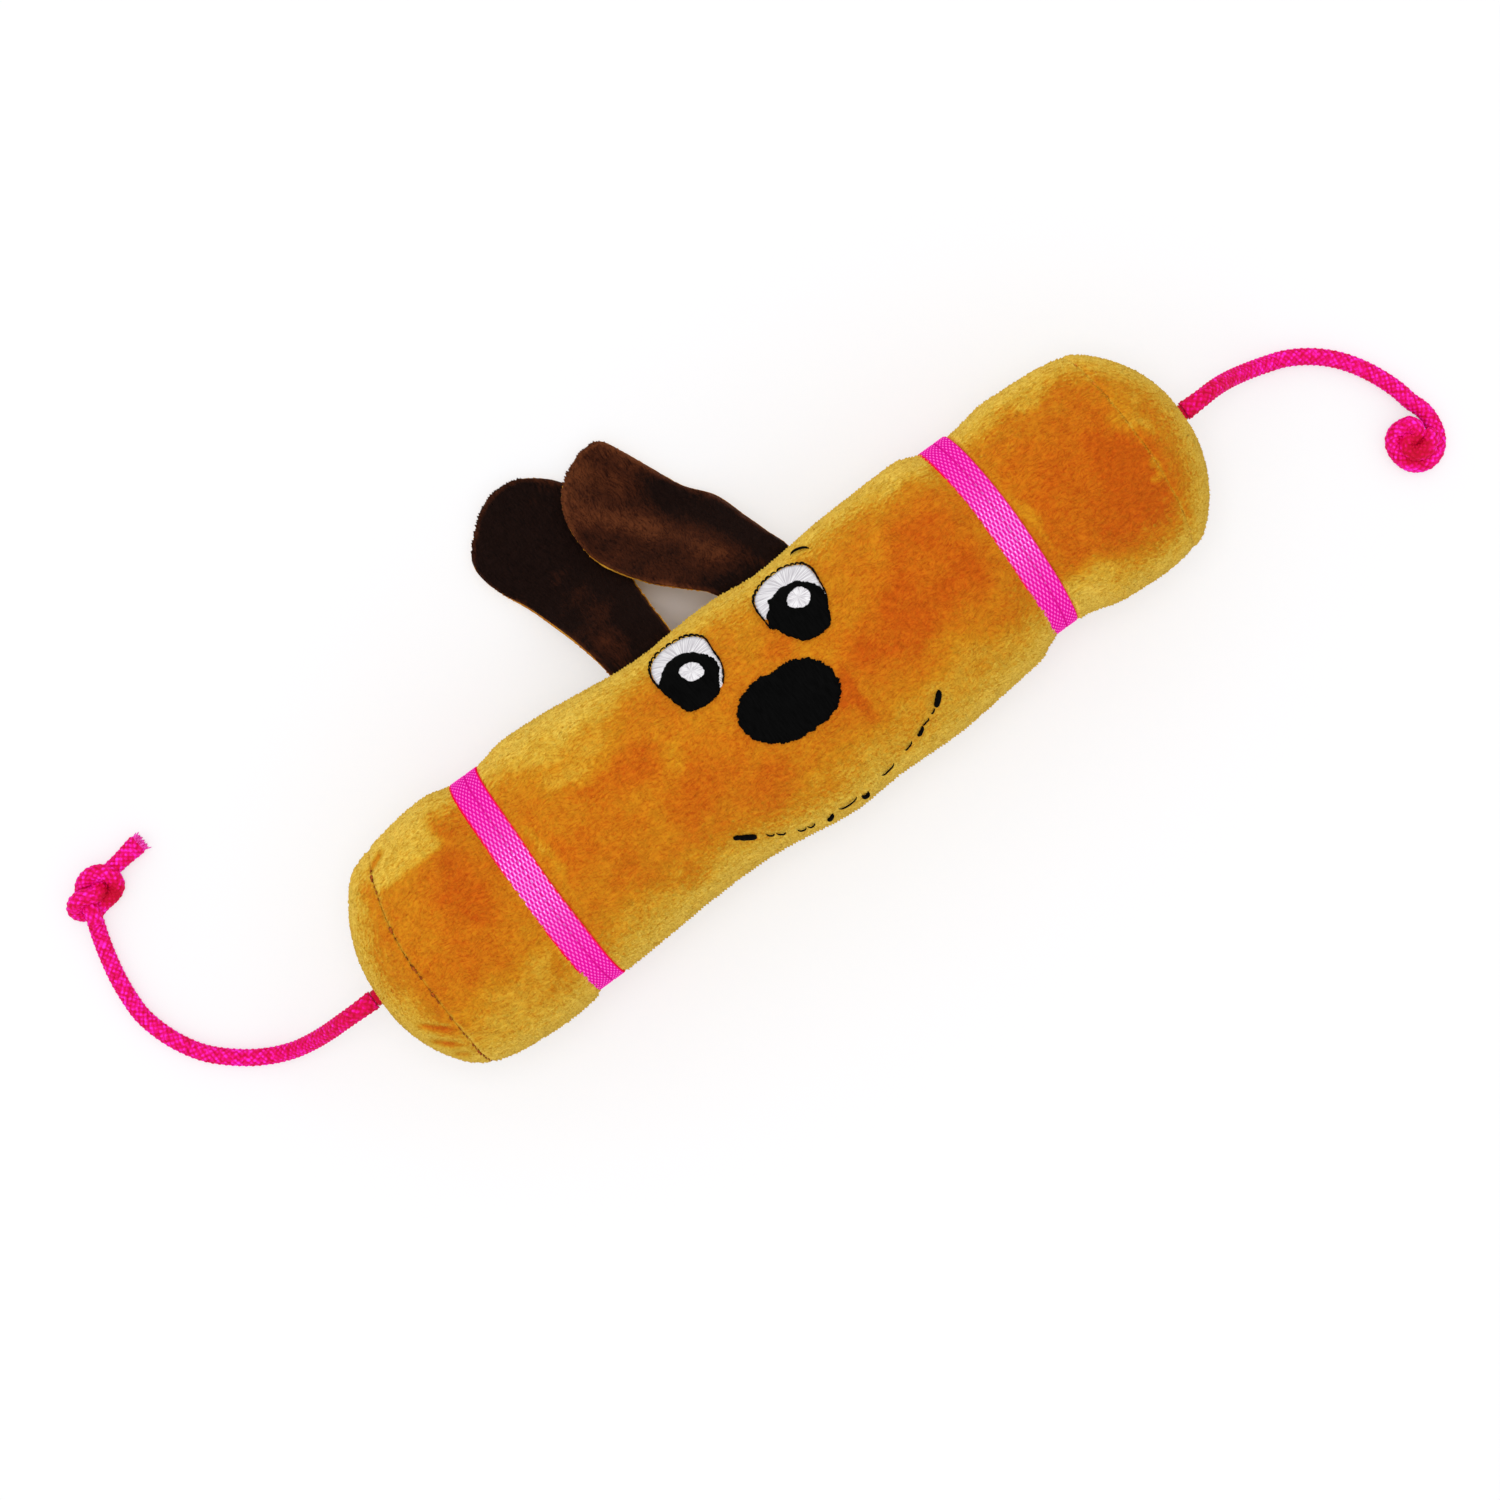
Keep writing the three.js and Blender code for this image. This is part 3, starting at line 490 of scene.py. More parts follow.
def skin(along, angle, lift=0.0):
    """A point on the body, lift millimetres over the base of the pile. The angle starts at the top."""
    side = "left" if along < 0 else "right"
    seam, outward = SEAM[side], OUTWARD[side]
    over = (along - seam) * outward
    half_width, half_height, y, z = section(seam if over > 0 else along)
    across, up = math.sin(angle), math.cos(angle)
    if over <= 0:
        base = Vector((along, y + half_width * across, z + half_height * up))
        normal = Vector((0, across, up))
    else:
        depth = DOMES[side][0]
        share, rise = dome_at(side, over)
        y += DOME_LEAN[side] * smooth_step(*LEAN_START, share) * smooth_step(*LEAN_END, share)
        base = Vector((seam + outward * depth * rise, y + half_width * share * across,
                       z + half_height * share * up))
        normal = Vector((outward * DOME_POWER * rise ** (DOME_POWER - 1) / depth,
                         2 * share * across / half_width, 2 * share * up / half_height)).normalized()
        lift -= DIMPLE * bell(dome_reach(side) - over, DIMPLE_REACH)
    point = base + normal * (lift + give(base, along, angle))
    point.z = max(point.z, FLOOR_GAP)
    return point


def face_point(along, around, lift):
    """The same from a distance along and around the body, which is how the face is laid out."""
    return skin(along, around / section(along)[0], lift)


def wrapped(angle):
    """The same angle between minus half a turn and half a turn."""
    return (angle + math.pi) % (2 * math.pi) - math.pi


# %% [markdown]
# ## Cords first
# A braided cord of sixteen strands leaves a hole in each end panel, bends down to the table and ends in
# an overhand knot. The camera and the cords come first, because their room is what a wrong size would
# upset. A braid could be sixteen tubes wound over each other. A tube whose wall rises and falls in the
# braid's diamonds gives the same outline and highlights with a tenth of the faces.

# %% Routes of the cords
CORD_DIAMETER = 5.2
LEFT_ROUTE = [
    (-150.4, -0.8, 36.8), (-153.6, -0.8, 36.8), (-157.4, -0.8, 35.7), (-162.8, -0.7, 31), (-169, -0.6, 23),
    (-176.3, 0, 14), (-183.5, 1.4, 7), (-190.1, 3.9, 3.6), (-197, 8, 2.8), (-205.7, 15.7, 2.7),
    (-210.3, 22.5, 2.7), (-213.4, 29.6, 2.7), (-215.3, 37.3, 2.7), (-215.4, 43.5, 2.7), (-214.7, 51.2, 2.7),
    (-213.1, 59, 2.8), (-211.6, 64.5, 3.1)]
RIGHT_ROUTE = [
    (150.4, -0.3, 34.8), (153.6, -0.3, 34.8), (157.2, -0.2, 33.6), (162.2, 0, 29.2), (168.6, -0.3, 21),
    (176.2, -1.5, 12), (183.4, -3.2, 6), (189.9, -5.3, 3.3), (196.3, -9.05, 2.7), (201.9, -14, 2.7),
    (206.2, -19.6, 2.7), (209.6, -25.8, 2.7), (212.4, -33.2, 2.8), (213.5, -38.5, 3.1)]

# %% Braid
STRANDS_EACH_WAY = 8
BRAID_LEAD = 16
BRAID_RELIEF = 0.6
BRAID_CREST = 0.2
STRAND_FLATNESS = 0.6
STRAND_LOW = 0.45
BRAID_STEP = 0.32
BRAID_SIDES = 48


def braid_at(along, angle):
    """The braid's height from 0 to 1 at a place on the cord."""
    turn = angle / (2 * math.pi)
    rise = along / BRAID_LEAD
    one = (turn - rise) * STRANDS_EACH_WAY
    other = (turn + rise) * STRANDS_EACH_WAY
    over = (math.floor(one) + math.floor(other)) % 2 == 0
    across, length = (one, other) if over else (other, one)
    across_share = across - math.floor(across) - 0.5
    length_share = length - math.floor(length) - 0.5
    crown = STRAND_LOW + (1 - STRAND_LOW) * math.cos(math.pi * length_share)
    return math.cos(math.pi * across_share) ** STRAND_FLATNESS * crown


def steady_frames(line):
    """Two side vectors for each point of a line, which don't twist from one point to the next."""
    sides = []
    side = Vector((0, 1, 0))
    for i in range(len(line)):
        heading = (line[min(i + 1, len(line) - 1)] - line[max(i - 1, 0)]).normalized()
        side = (side - heading * side.dot(heading)).normalized()
        sides.append((side, heading.cross(side)))
    return sides


def braided_tube(line, frames, first, last, diameter, end_share):
    """A braided tube along the points first to last of a line. end_share(i) scales its radius."""
    steps = last - first

    def place(u, v):
        row = round(u * (steps + 2)) - 1
        closing = row < 0 or row > steps
        i = first + min(max(row, 0), steps)
        side, up = frames[i]
        angle = v * 2 * math.pi
        relief = BRAID_CREST - BRAID_RELIEF * (1 - braid_at(i * BRAID_STEP, angle))
        radius = (diameter / 2 + relief) * end_share(i)
        point = line[i] + (side * math.cos(angle) + up * math.sin(angle)) * (0 if closing else radius)
        point.z = max(point.z, 0)
        return point

    mesh = grid_mesh(steps + 2, BRAID_SIDES, place, ((steps + 2) * BRAID_STEP, diameter * math.pi))
    tone = mesh.verts.layers.float.new("tone")
    uv = mesh.loops.layers.uv.active
    for face in mesh.faces:
        for loop in face.loops:
            along, around = loop[uv].uv
            loop.vert[tone] = braid_at(along + (first - 1) * BRAID_STEP, around / diameter * 2)
    return close_up(mesh)


# %% [markdown]
# ## Cord material
# The cord is braided polyester of hot pink yarn. Light reaches into such a braid, so its hollows look
# warm red rather than dark, and that shade is painted into the colour, while single strands are pinker or
# redder than their neighbours. Painted shade also makes it redder where the rope climbs to the body, and in
# the middle of both knots. The finish is a soft satin from the thousands of parallel filaments in each
# strand.

# %% Braided polyester
STRAND_MOTTLE = 1.7
FILAMENT_SPACING = 0.5
# Painted shade makes the rope redder between two heights, where it climbs to the body, and round the
# middle of both knots, each given as a place on the plan and a reach.
CLIMB_SHADE_HEIGHTS = (4, 34)
CLIMB_SHADE_TONE = (0.05, -0.14)
KNOT_SHADE_SPOTS = [((205.6, -51.4, 0), 6.2), ((-200.6, 73.2, 0), 5)]
KNOT_SHADE_TONE = -0.55
KNOT_SHADE_MIDDLE = 0.35
MOTTLE_SHARE = 1.6
MOTTLE_SHIFT = -0.6
BRAID_SHADE_SHARE = 0.6


def braided_polyester():
    material, tree, shader = start_material("braided_polyester_cord", Roughness=0.6, Specular_IOR_Level=0.08)
    braid = add(tree, "ShaderNodeAttribute", attribute_name="tone").outputs["Fac"]
    place = object_place(tree)
    strands = lumps(tree, place, STRAND_MOTTLE, Detail=2, Roughness=0.6).outputs["Fac"]
    filaments = lumps(tree, place, FILAMENT_SPACING, Detail=1).outputs["Fac"]
    tone = calculate(tree, "MULTIPLY_ADD", strands, MOTTLE_SHARE, MOTTLE_SHIFT)
    # Painted shade: the low parts of the braid are moved to the redder end of the ramp.
    tone = calculate(tree, "MULTIPLY_ADD", braid, BRAID_SHADE_SHARE, tone)
    split = add(tree, "ShaderNodeSeparateXYZ", {0: place})
    # Painted shade where the rope climbs to the body, and round the middle of each knot.
    climb_shade = map_range(tree, split.outputs["Z"], CLIMB_SHADE_HEIGHTS[0] * MM, CLIMB_SHADE_HEIGHTS[1] * MM, *CLIMB_SHADE_TONE)
    tone = calculate(tree, "ADD", tone, climb_shade)
    flat = add(tree, "ShaderNodeCombineXYZ", {"X": split.outputs["X"], "Y": split.outputs["Y"]})
    for shade_spot, reach in KNOT_SHADE_SPOTS:
        away = add(tree, "ShaderNodeVectorMath", {0: flat.outputs[0], 1: [c * MM for c in shade_spot]},
                   operation="DISTANCE").outputs["Value"]
        knot_shade = map_range(tree, away, reach * KNOT_SHADE_MIDDLE * MM, reach * MM, KNOT_SHADE_TONE, 0)
        tone = calculate(tree, "ADD", tone, knot_shade)
    colour = ramp(tree, tone, (0.1, "C40632"), (0.42, "DC0450"), (0.7, "EC0A88"), (0.98, "FA2CD4"))
    finish_surface(tree, shader, colour, filaments)
    return material


cord_material = braided_polyester()

# %% [markdown]
# ## Knots
# Each cord ends in a knot that was pulled tight. Its course is a list of places read off the toy, with
# heights for what passes over what. Laid out like that, its turns would cut into each other. So the rope
# is then settled as a real one settles: it is pulled smooth, and kept a diameter from itself.

# %% Courses of the knots
LEFT_KNOT = [
    (-209.8, 69.1, 4.4), (-208.5, 72, 6.4), (-208.5, 75.2, 4.6), (-208.2, 78.2, 2.7), (-206.1, 80.8, 4.2),
    (-202.1, 81.6, 6.4), (-198.8, 80.2, 6.8), (-197.2, 77.4, 6), (-197.6, 74.9, 4.4), (-199.9, 73.4, 3),
    (-203.3, 72.9, 2.6), (-207.6, 72.8, 2.6), (-211.6, 73.6, 2.8), (-212.9, 75.9, 4.6), (-210.6, 76.9, 6.8),
    (-206.8, 76, 7.6), (-203.6, 76, 6.6), (-201.6, 78.1, 3.6), (-198.4, 79.4, 2.6), (-194.3, 79.9, 2.8),
    (-189.7, 80.6, 2.8), (-185, 81.2, 2.9)]
RIGHT_KNOT = [
    (215.2, -43, 2.8), (215.3, -47.5, 2.7), (214.2, -52, 2.7), (211.1, -55.8, 2.7), (206.6, -56.8, 2.7),
    (202.6, -54.6, 2.7), (201, -50.2, 2.8), (201.6, -46, 3.4), (204.2, -43.7, 4.8), (207.4, -44, 6.2),
    (209.6, -45.6, 6.8), (209.3, -47.6, 6.6), (206.6, -48, 5.8), (204, -48.9, 5.4), (204.8, -52.2, 6),
    (208.2, -53.4, 6.8), (211.2, -51.6, 6.8), (212.2, -48.6, 6.2)]

# %% Settling a rope
SETTLE_STEP = 0.8
SETTLE_ROUNDS = 120
SETTLE_PULL = 0.12
SETTLE_HOLD = 0.05
SETTLE_NEAR = 1.4


def settle(line, diameter, held):
    """Pulls a rope smooth and keeps it off itself and the table. The first held points stay."""
    points = [p.copy() for p in line]
    apart = round(SETTLE_NEAR * diameter / SETTLE_STEP)
    for _ in range(SETTLE_ROUNDS):
        for i in range(held, len(points) - 1):
            between = (points[i - 1] + points[i + 1]) / 2
            points[i] = points[i].lerp(between, SETTLE_PULL).lerp(line[i], SETTLE_HOLD)
        for i in range(len(points)):
            for j in range(max(i + apart, held), len(points)):
                gap = points[j] - points[i]
                if gap.length < diameter:
                    push = gap.normalized() * (diameter - gap.length) / 2
                    points[j] += push
                    if i >= held:
                        points[i] -= push
        for point in points[held:]:
            point.z = max(point.z, diameter / 2)
    return points


# %% Cords and their knots
KNOT_OVERLAP = 3
KNOT_SQUEEZE = 1.1
KNOT_INSIDE = 0.8
EXIT_SWELL = 0.15
EXIT_REACH = 5
TAIL_STEPS = 5
TAIL_SWELL = 0.22
TAIL_REACH = 5


def make_cord(side, route, course, tail_share):
    """One free cord with its knot: one line, cut in two pieces where the solids are."""
    line = spaced_line(route, BRAID_STEP)
    laid = spaced_line([route[-2], route[-1], *course], SETTLE_STEP)
    held = round((Vector(route[-1]) - Vector(route[-2])).length / SETTLE_STEP) + 1
    settled = settle(laid, CORD_DIAMETER - KNOT_SQUEEZE, held)
    rest = spaced_line([line[-1], *settled[held:]], BRAID_STEP)
    whole = line + rest[1:]
    frames = steady_frames(whole)
    cut, end = len(line) - 1, len(whole) - 1

    def cord_end(i):
        return 1 + EXIT_SWELL * math.exp(-i * BRAID_STEP / EXIT_REACH)

    def knot_end(i):
        inside = KNOT_INSIDE if i < cut else 1
        if tail_share > 0.5:
            inside += TAIL_SWELL * bell((end - i) * BRAID_STEP, TAIL_REACH)
        return inside * min(1, tail_share + (1 - tail_share) * math.sqrt((end - i) / TAIL_STEPS))

    rope = finish_piece(braided_tube(whole, frames, 0, cut, CORD_DIAMETER, cord_end), f"{side}_cord",
                        cord_material, "root", [f"cord_{side}"])
    shape = braided_tube(whole, frames, cut - KNOT_OVERLAP, end, CORD_DIAMETER, knot_end)
    knot = finish_piece(shape, f"{side}_cord_knot", cord_material, "root", [f"knot_{side}"])
    return whole


left_rope = make_cord("left", LEFT_ROUTE, LEFT_KNOT, 0.9)
make_cord("right", RIGHT_ROUTE, RIGHT_KNOT, 0.5)

# %% [markdown]
# ## Plush
# The cloth is minky: a knitted polyester base with a cut pile about a millimetre long. Its colour lives
# in the pile. Where the pile leans toward you it looks deep orange, where it leans away or is seen from
# the side it looks pale gold, so a hand that strokes it leaves soft patches. The patches are an attribute
# called nap, the glow at the edges is sheen, helped by painted sheen that makes the sides of the body paler
# in the nap, and the pile itself is geometry: every face of the cloth is poked into a small leaning tuft.
# Hair strands would be finer, but they don't survive an export.

# %% Pile
PILE_SPACING = 1.0
PILE_LOW = 0.15
PILE_HIGH = 0.75
PILE_LEAN = 0.45
PILE_LEAN_SPREAD = (0.4, 1.6)
PILE_JITTER = 0.3
PILE_FLOOR = 0.02


def mark_pile(mesh, furry):
    """Marks the faces that get pile: furry(u, v) tells it from a face's smallest flat place."""
    mark = mesh.faces.layers.int.new("pile")
    uv = mesh.loops.layers.uv.active
    for face in mesh.faces:
        face[mark] = furry(*[min(loop[uv].uv[k] for loop in face.loops) for k in (0, 1)])


def raise_pile(mesh, seed, lean_to, scale=1.0):
    """Pokes the marked faces into tufts of pile that lean along lean_to, with some disorder."""
    draw = random.Random(seed)
    tuft = mesh.verts.layers.float.new("tuft")
    mark = mesh.faces.layers.int["pile"]
    mesh.normal_update()
    faces = [face for face in mesh.faces if face[mark]]
    for vert in sorted({v for f in faces for v in f.verts if not v.is_boundary}, key=lambda v: v.index):
        jitter = Vector([draw.uniform(-1, 1) for _ in range(3)]) * PILE_JITTER * MM
        vert.co += (jitter - vert.normal * jitter.dot(vert.normal)) * roominess(vert)
    made = bmesh.ops.poke(mesh, faces=faces)
    mesh.normal_update()
    for vert in made["verts"]:
        share = draw.random()
        room = roominess(vert)
        height = (PILE_LOW + (PILE_HIGH - PILE_LOW) * share) * scale * room
        lean = Vector(lean_to) * PILE_LEAN * scale * draw.uniform(*PILE_LEAN_SPREAD) * room
        vert.co += (vert.normal * height + lean) * MM
        vert.co.z = max(vert.co.z, PILE_FLOOR * MM)
        vert[tuft] = 0.5 + 0.5 * share


def roominess(vert):
    """How large the faces round a corner are beside the pile's spacing, up to 1."""
    area = sum(face.calc_area() for face in vert.link_faces)
    return min(math.sqrt(area) / (PILE_SPACING * MM), 1)


# %% Strokes over the pile
# Broad ones come first: x and y of the middle, half length and half width in mm, and how deep the colour
# is there.
STROKES = [
    (-112.3, 5.6, 17, 16, 0.68), (-104.7, 10, 11, 12, 0.92), (-98.3, 25.4, 4, 8, 0.8),
    (-112.8, -27, 21, 10, 0.3), (-138, 21, 7, 9, 0.2), (-96.5, -26.3, 3, 5, 0.65), (-141, 2, 5, 8, 0.74),
    (-139, 17, 5, 8, 0.48), (-139, -15, 5, 9, 0.45), (-60.6, 31.8, 26, 8, 0.17), (-61, 21.6, 19, 5, 0.36),
    (-63.5, -28, 34, 7, 0.42), (-80.6, 2.7, 2.4, 13, 0.35), (-73.9, -1, 7, 8, 0.82), (-58, -2, 12, 8, 0.7),
    (-54.7, 10.9, 10, 4, 0.8), (-45.4, 10, 8, 6, 0.88), (-48.9, -27.8, 4, 3.5, 0.75),
    (-31.5, 5.6, 6, 4, 0.45), (-24.2, -1.6, 11, 7, 0.78), (-34.4, -7.7, 12, 7, 0.84),
    (-14.9, -16.1, 11, 7, 0.88), (3, 22, 6, 6, 0.45), (2, -25, 14, 5, 0.48), (46, 30, 15, 5, 0.66),
    (9.2, 12.9, 8, 3, 0.75), (18, -28, 14, 6, 0.38), (46.9, -27.3, 27, 9, 0.38), (33.9, -3.7, 14, 8, 1),
    (17, -11.2, 3.4, 9, 1), (55.7, -0.2, 19, 11, 0.97), (61.5, 12.9, 13, 11, 0.9), (42, 14, 7, 7, 0.66),
    (65.8, 33, 10, 3.5, 0.2), (109.4, -0.2, 22, 23, 0.86), (120.1, -8.9, 12, 17, 1.05),
    (107.9, 32, 18, 5, 0.38), (103.6, 28.9, 3.5, 4, 0.7), (119.6, 27, 4.5, 4, 0.8),
    (93.4, -25.5, 13, 8, 0.2), (89.6, 5.6, 2.4, 20, 0.5), (138, 4, 6, 14, 0.72),
    (135.5, -14.7, 4, 6.5, 0.85), (131.5, 9.5, 3, 9, 0.42), (129.4, -9.8, 1.6, 2.5, 0.45)]
STROKE_FADE = (0.4, 1.4)

# %% Nap
# Clouds are layers of noise, each a size in mm and a height. WANDER tells in the same way how far the
# borders of the strokes stray. The pale shoulder is a corner of the left end that was brushed the other way.
NAP_BASE = 0.62
NAP_CLOUDS = ((15, 0.14), (5, 0.12))
WANDER = ((12, 5), (4, 2.2))
WANDER_SHIFT = Vector((9, 4, 2))
PALE_SHOULDER = {"left": (-131, -126), "right": (-105.8, -101.8), "low": (22.2, 25.4)}
SHOULDER_WANDER = 0.45
SHOULDER_SHARE = 0.78
# The flanks, where the normal turns away from up, are painted paler as painted sheen.
SHEEN_FLANK = (0.36, 0.8)
SHEEN_FLANK_TONE = 0.02
SHEEN_FLANK_SHARE = 0.92
# Painted shade: the creases are painted a deeper orange, by so much per mm of their depth.
CREASE_SHADE_TONE = 0.5


def clouds(point, layers):
    """The sum of several layers of noise at a point."""
    return sum(noise.noise(point / size) * height for size, height in layers)


def nap_at(point, normal):
    """How deep the colour of the pile is at a point, from 0 for pale gold to 1 for deep orange, with painted
    sheen on the flanks and painted shade in the creases.
    """
    wander = Vector()
    for size, reach in WANDER:
        here = point / size
        wander += Vector((noise.noise(here), noise.noise(here + WANDER_SHIFT), 0)) * reach
    deep = NAP_BASE
    for x, y, length, width, depth in STROKES:
        reach = math.hypot((point.x + wander.x - x) / length, (point.y + wander.y - y) / width)
        if reach < STROKE_FADE[1]:
            deep += (depth - deep) * (1 - smooth_step(*STROKE_FADE, reach))
    ragged = point + wander * SHOULDER_WANDER
    shoulder = (smooth_step(*PALE_SHOULDER["low"], ragged.y)
                * (1 - smooth_step(*PALE_SHOULDER["right"], ragged.x))
                * smooth_step(*PALE_SHOULDER["left"], point.x))
    deep = (deep + clouds(point, NAP_CLOUDS)) * (1 - SHOULDER_SHARE * shoulder)
    painted_sheen = 1 - smooth_step(*SHEEN_FLANK, normal.z)
    deep += (SHEEN_FLANK_TONE - deep) * SHEEN_FLANK_SHARE * painted_sheen + CREASE_SHADE_TONE * crease_at(point)
    return min(max(deep, 0), 1)


def paint(mesh, name, tone_at):
    """Stores tone_at(point in mm, normal) on every corner, as an attribute that a material can read."""
    layer = mesh.verts.layers.float.new(name)
    mesh.normal_update()
    for vert in mesh.verts:
        vert[layer] = tone_at(vert.co / MM, vert.normal)


# %% [markdown]
# Close up, the pile shows as short strokes a millimetre or two long, which wander in direction, with
# darker gaps between them, where shade falls. They are too fine for the mesh, so they are a stretched noise
# that shifts the colour along the nap's own ramp, paints that shade into the gaps and at the foot of every
# tuft, and drives the bump.

# %% Minky plush
SWIRL_SIZE = 9
SWIRL_REACH = 6
STROKE_CONTRAST = 0.6
TUFT_SHADE_CONTRAST = 0.08


def minky(name, colours, gap_shade_colour, sheen, sheen_weight, stroke):
    """Short-pile polyester plush with strokes of pile of the given size in mm along x, y and z."""
    material, tree, shader = start_material(
        name, Roughness=0.9, Sheen_Weight=sheen_weight, Sheen_Roughness=0.5, Sheen_Tint=linear(sheen),
        Specular_IOR_Level=0.1)
    nap = add(tree, "ShaderNodeAttribute", attribute_name="nap").outputs["Fac"]
    tuft = add(tree, "ShaderNodeAttribute", attribute_name="tuft").outputs["Fac"]
    place = object_place(tree)
    swirl = lumps(tree, place, SWIRL_SIZE, Detail=1)
    reach = (SWIRL_REACH * MM,) * 3
    bent = add(tree, "ShaderNodeVectorMath", {0: swirl.outputs["Color"], 1: reach, 2: place},
               operation="MULTIPLY_ADD")
    along = add(tree, "ShaderNodeMapping", {"Vector": bent.outputs[0],
                                            "Scale": [1 / (size * MM) for size in stroke]})
    strokes = add(tree, "ShaderNodeTexNoise", {"Vector": along.outputs["Vector"], "Scale": 1, "Detail": 5,
                                               "Roughness": 0.7, "Distortion": 0.5}).outputs["Fac"]
    shifted = calculate(tree, "MULTIPLY_ADD", strokes, -STROKE_CONTRAST, nap)
    colour = ramp(tree, calculate(tree, "ADD", shifted, STROKE_CONTRAST / 2), *colours)
    # Painted shade: the gaps between the strokes, and the foot of every tuft, are multiplied towards a darker
    # colour.
    painted_gap_shade = calculate(tree, "MULTIPLY_ADD", tuft, TUFT_SHADE_CONTRAST, strokes)
    shade = ramp(tree, painted_gap_shade, (0.34, gap_shade_colour), (0.56, "FFFFFF"))
    finish_surface(tree, shader, mix_colours(tree, 1.0, colour, shade, "MULTIPLY"), strokes, 0.7, 0.6)
    return material


golden_minky = minky(
    "golden_minky_plush",
    ((0, "F1CC54"), (0.14, "E2B437"), (0.42, "D68F17"), (0.72, "D2760F"), (1, "CB5E0A")),
    "E2C6A2", "FFC440", 0.15, (1.6, 0.7, 0.7))
brown_minky = minky(
    "brown_minky_plush", ((0.1, "6E3A1E"), (0.5, "46200F"), (0.9, "190A06")),
    "98806E", "A86038", 0.05, (0.7, 3.2, 0.9))
backing_minky = minky(
    "golden_minky_ear_backing", ((0.05, "DDB040"), (0.42, "CA8824"), (0.72, "A8641E"), (1, "7E4216")),
    "D8BC98", "FFC440", 0.1, (0.8, 1.4, 0.8))

# %% [markdown]
# ## Body tube
# The tube is one rectangle of plush. The grid's rows run over the outside from seam to seam, turn in at
# the right seam, come back as the lining, and turn in at the left seam, so the cloth has its real
# thickness and no open edge. Only the outside gets pile.

# %% Body tube
CLOTH_WALL = 2
SEAM_ALLOWANCE = 5
LINING_SPACING = {"tube": 12, "end": 5}
SEAM_GAP = {"left": 0.05, "right": 0.0}


def shares(length, spacing):
    """Even shares from 0 to 1 of a length, about a spacing apart."""
    count = max(round(length / spacing), 1)
    return [i / count for i in range(count + 1)]


def cloth_rows(length, lining_spacing):
    """Rows of (share of the length, lift): those of the outside, and those of the lining on its way back."""
    outer = [(share, 0.0) for share in shares(length, PILE_SPACING)]
    lining = [(share, -CLOTH_WALL) for share in shares(length, lining_spacing)[1:-1]]
    return outer, lining[::-1]


def plush_shell(rows, radius, place, last, seed, lean):
    """A closed shell of plush: place(row, angle) gives its points in mm, and rows up to the last get pile."""
    around = round(2 * math.pi * radius / PILE_SPACING)

    def at(u, v):
        return place(rows[round(u * len(rows)) % len(rows)], wrapped(v * 2 * math.pi))

    mesh = grid_mesh(len(rows), around, at, (len(rows), around))
    mark_pile(mesh, lambda u, v: u + 0.5 < last)
    close_up(mesh)
    raise_pile(mesh, seed, lean)
    paint(mesh, "nap", nap_at)
    return mesh


def body_tube():
    length = SEAM["right"] - SEAM["left"]
    outer, lining = cloth_rows(length, LINING_SPACING["tube"])
    turned_right = [(1, -SEAM_ALLOWANCE), (1 - CLOTH_WALL / length, -SEAM_ALLOWANCE)]
    turned_left = [(CLOTH_WALL / length, -SEAM_ALLOWANCE), (0, -SEAM_ALLOWANCE)]

    def place(row, angle):
        start, end = seam_at("left", angle) + SEAM_GAP["left"], seam_at("right", angle) - SEAM_GAP["right"]
        return skin(start + (end - start) * row[0], angle, row[1])

    rows = outer + turned_right + lining + turned_left
    return plush_shell(rows, BODY_RADIUS, place, len(outer) - 1, 11, (0.5, -0.3, 0))


tube = finish_piece(body_tube(), "plush_tube", golden_minky, "root", ["body_tube"])

# %% [markdown]
# ## End panels
# Each end is closed by a disc of the same plush, which the filling domes. Its rows run from the hole of
# the cord to the seam, turn in there, and come back as the lining.

# %% End panels
def end_panel(side, seed):
    reach = dome_reach(side)
    outer, lining = cloth_rows(reach, LINING_SPACING["end"])

    def place(row, angle):
        start = SEAM[side] + OUTWARD[side] * reach
        end = seam_at(side, angle) + OUTWARD[side] * SEAM_GAP[side]
        return skin(start + (end - start) * row[0], angle, row[1])

    rows = outer + [(1, -SEAM_ALLOWANCE)] + lining
    mesh = plush_shell(rows, section(SEAM[side])[0], place, len(outer) - 1, seed, (0.2, -0.4, 0))
    piece = finish_piece(mesh, f"plush_end_{side}", golden_minky, "root",
                         [f"end_panel_{side}"])


end_panel("left", 21)
end_panel("right", 22)

# %% [markdown]
# ## Webbing bands
# The bands are narrow polypropylene webbing, drawn tight and stitched down the middle. Its weave shows as
# rows of small beads, each a warp float, offset in every other row. The beads are real relief, because
# they catch the light as bright dots, and the material adds the colour, with a painted highlight that makes
# the bead tops paler and painted shade that makes the yarn between them darker.

# %% Webbing
BEAD_ACROSS = 1.17
BEAD_ALONG = 1.62
BEAD_HEIGHT = 0.3
BEAD_FLATNESS = 0.8
BEAD_MARGIN = (0.2, 0.7)
WEB_THICKNESS = 1
WEB_FLOAT = 0.3
WEB_EDGE = (-0.9, 0.35)
WEB_CORNERS_ACROSS = 52
WEB_CORNERS_AROUND = 700
WEB_TOP_SHARE = 0.9
WEB_STITCH_SHARE = 0.56
WEB_STITCH_WIDTH = 0.25
WEB_STITCH_DEPTH = 0.2
WEB_SWAY = 0.5
WEB_SWAY_WAVES = 1.3
WEB_SLANT = {"band_left": 0.0, "band_right": 0.7}


def bead_at(across, along):
    """The weave's height from 0 to 1: beads in rows, and every other row set off by half a bead."""
    wave = math.cos(2 * math.pi * across / BEAD_ACROSS) * math.cos(math.pi * along / BEAD_ALONG)
    return max(wave, 0) ** BEAD_FLATNESS


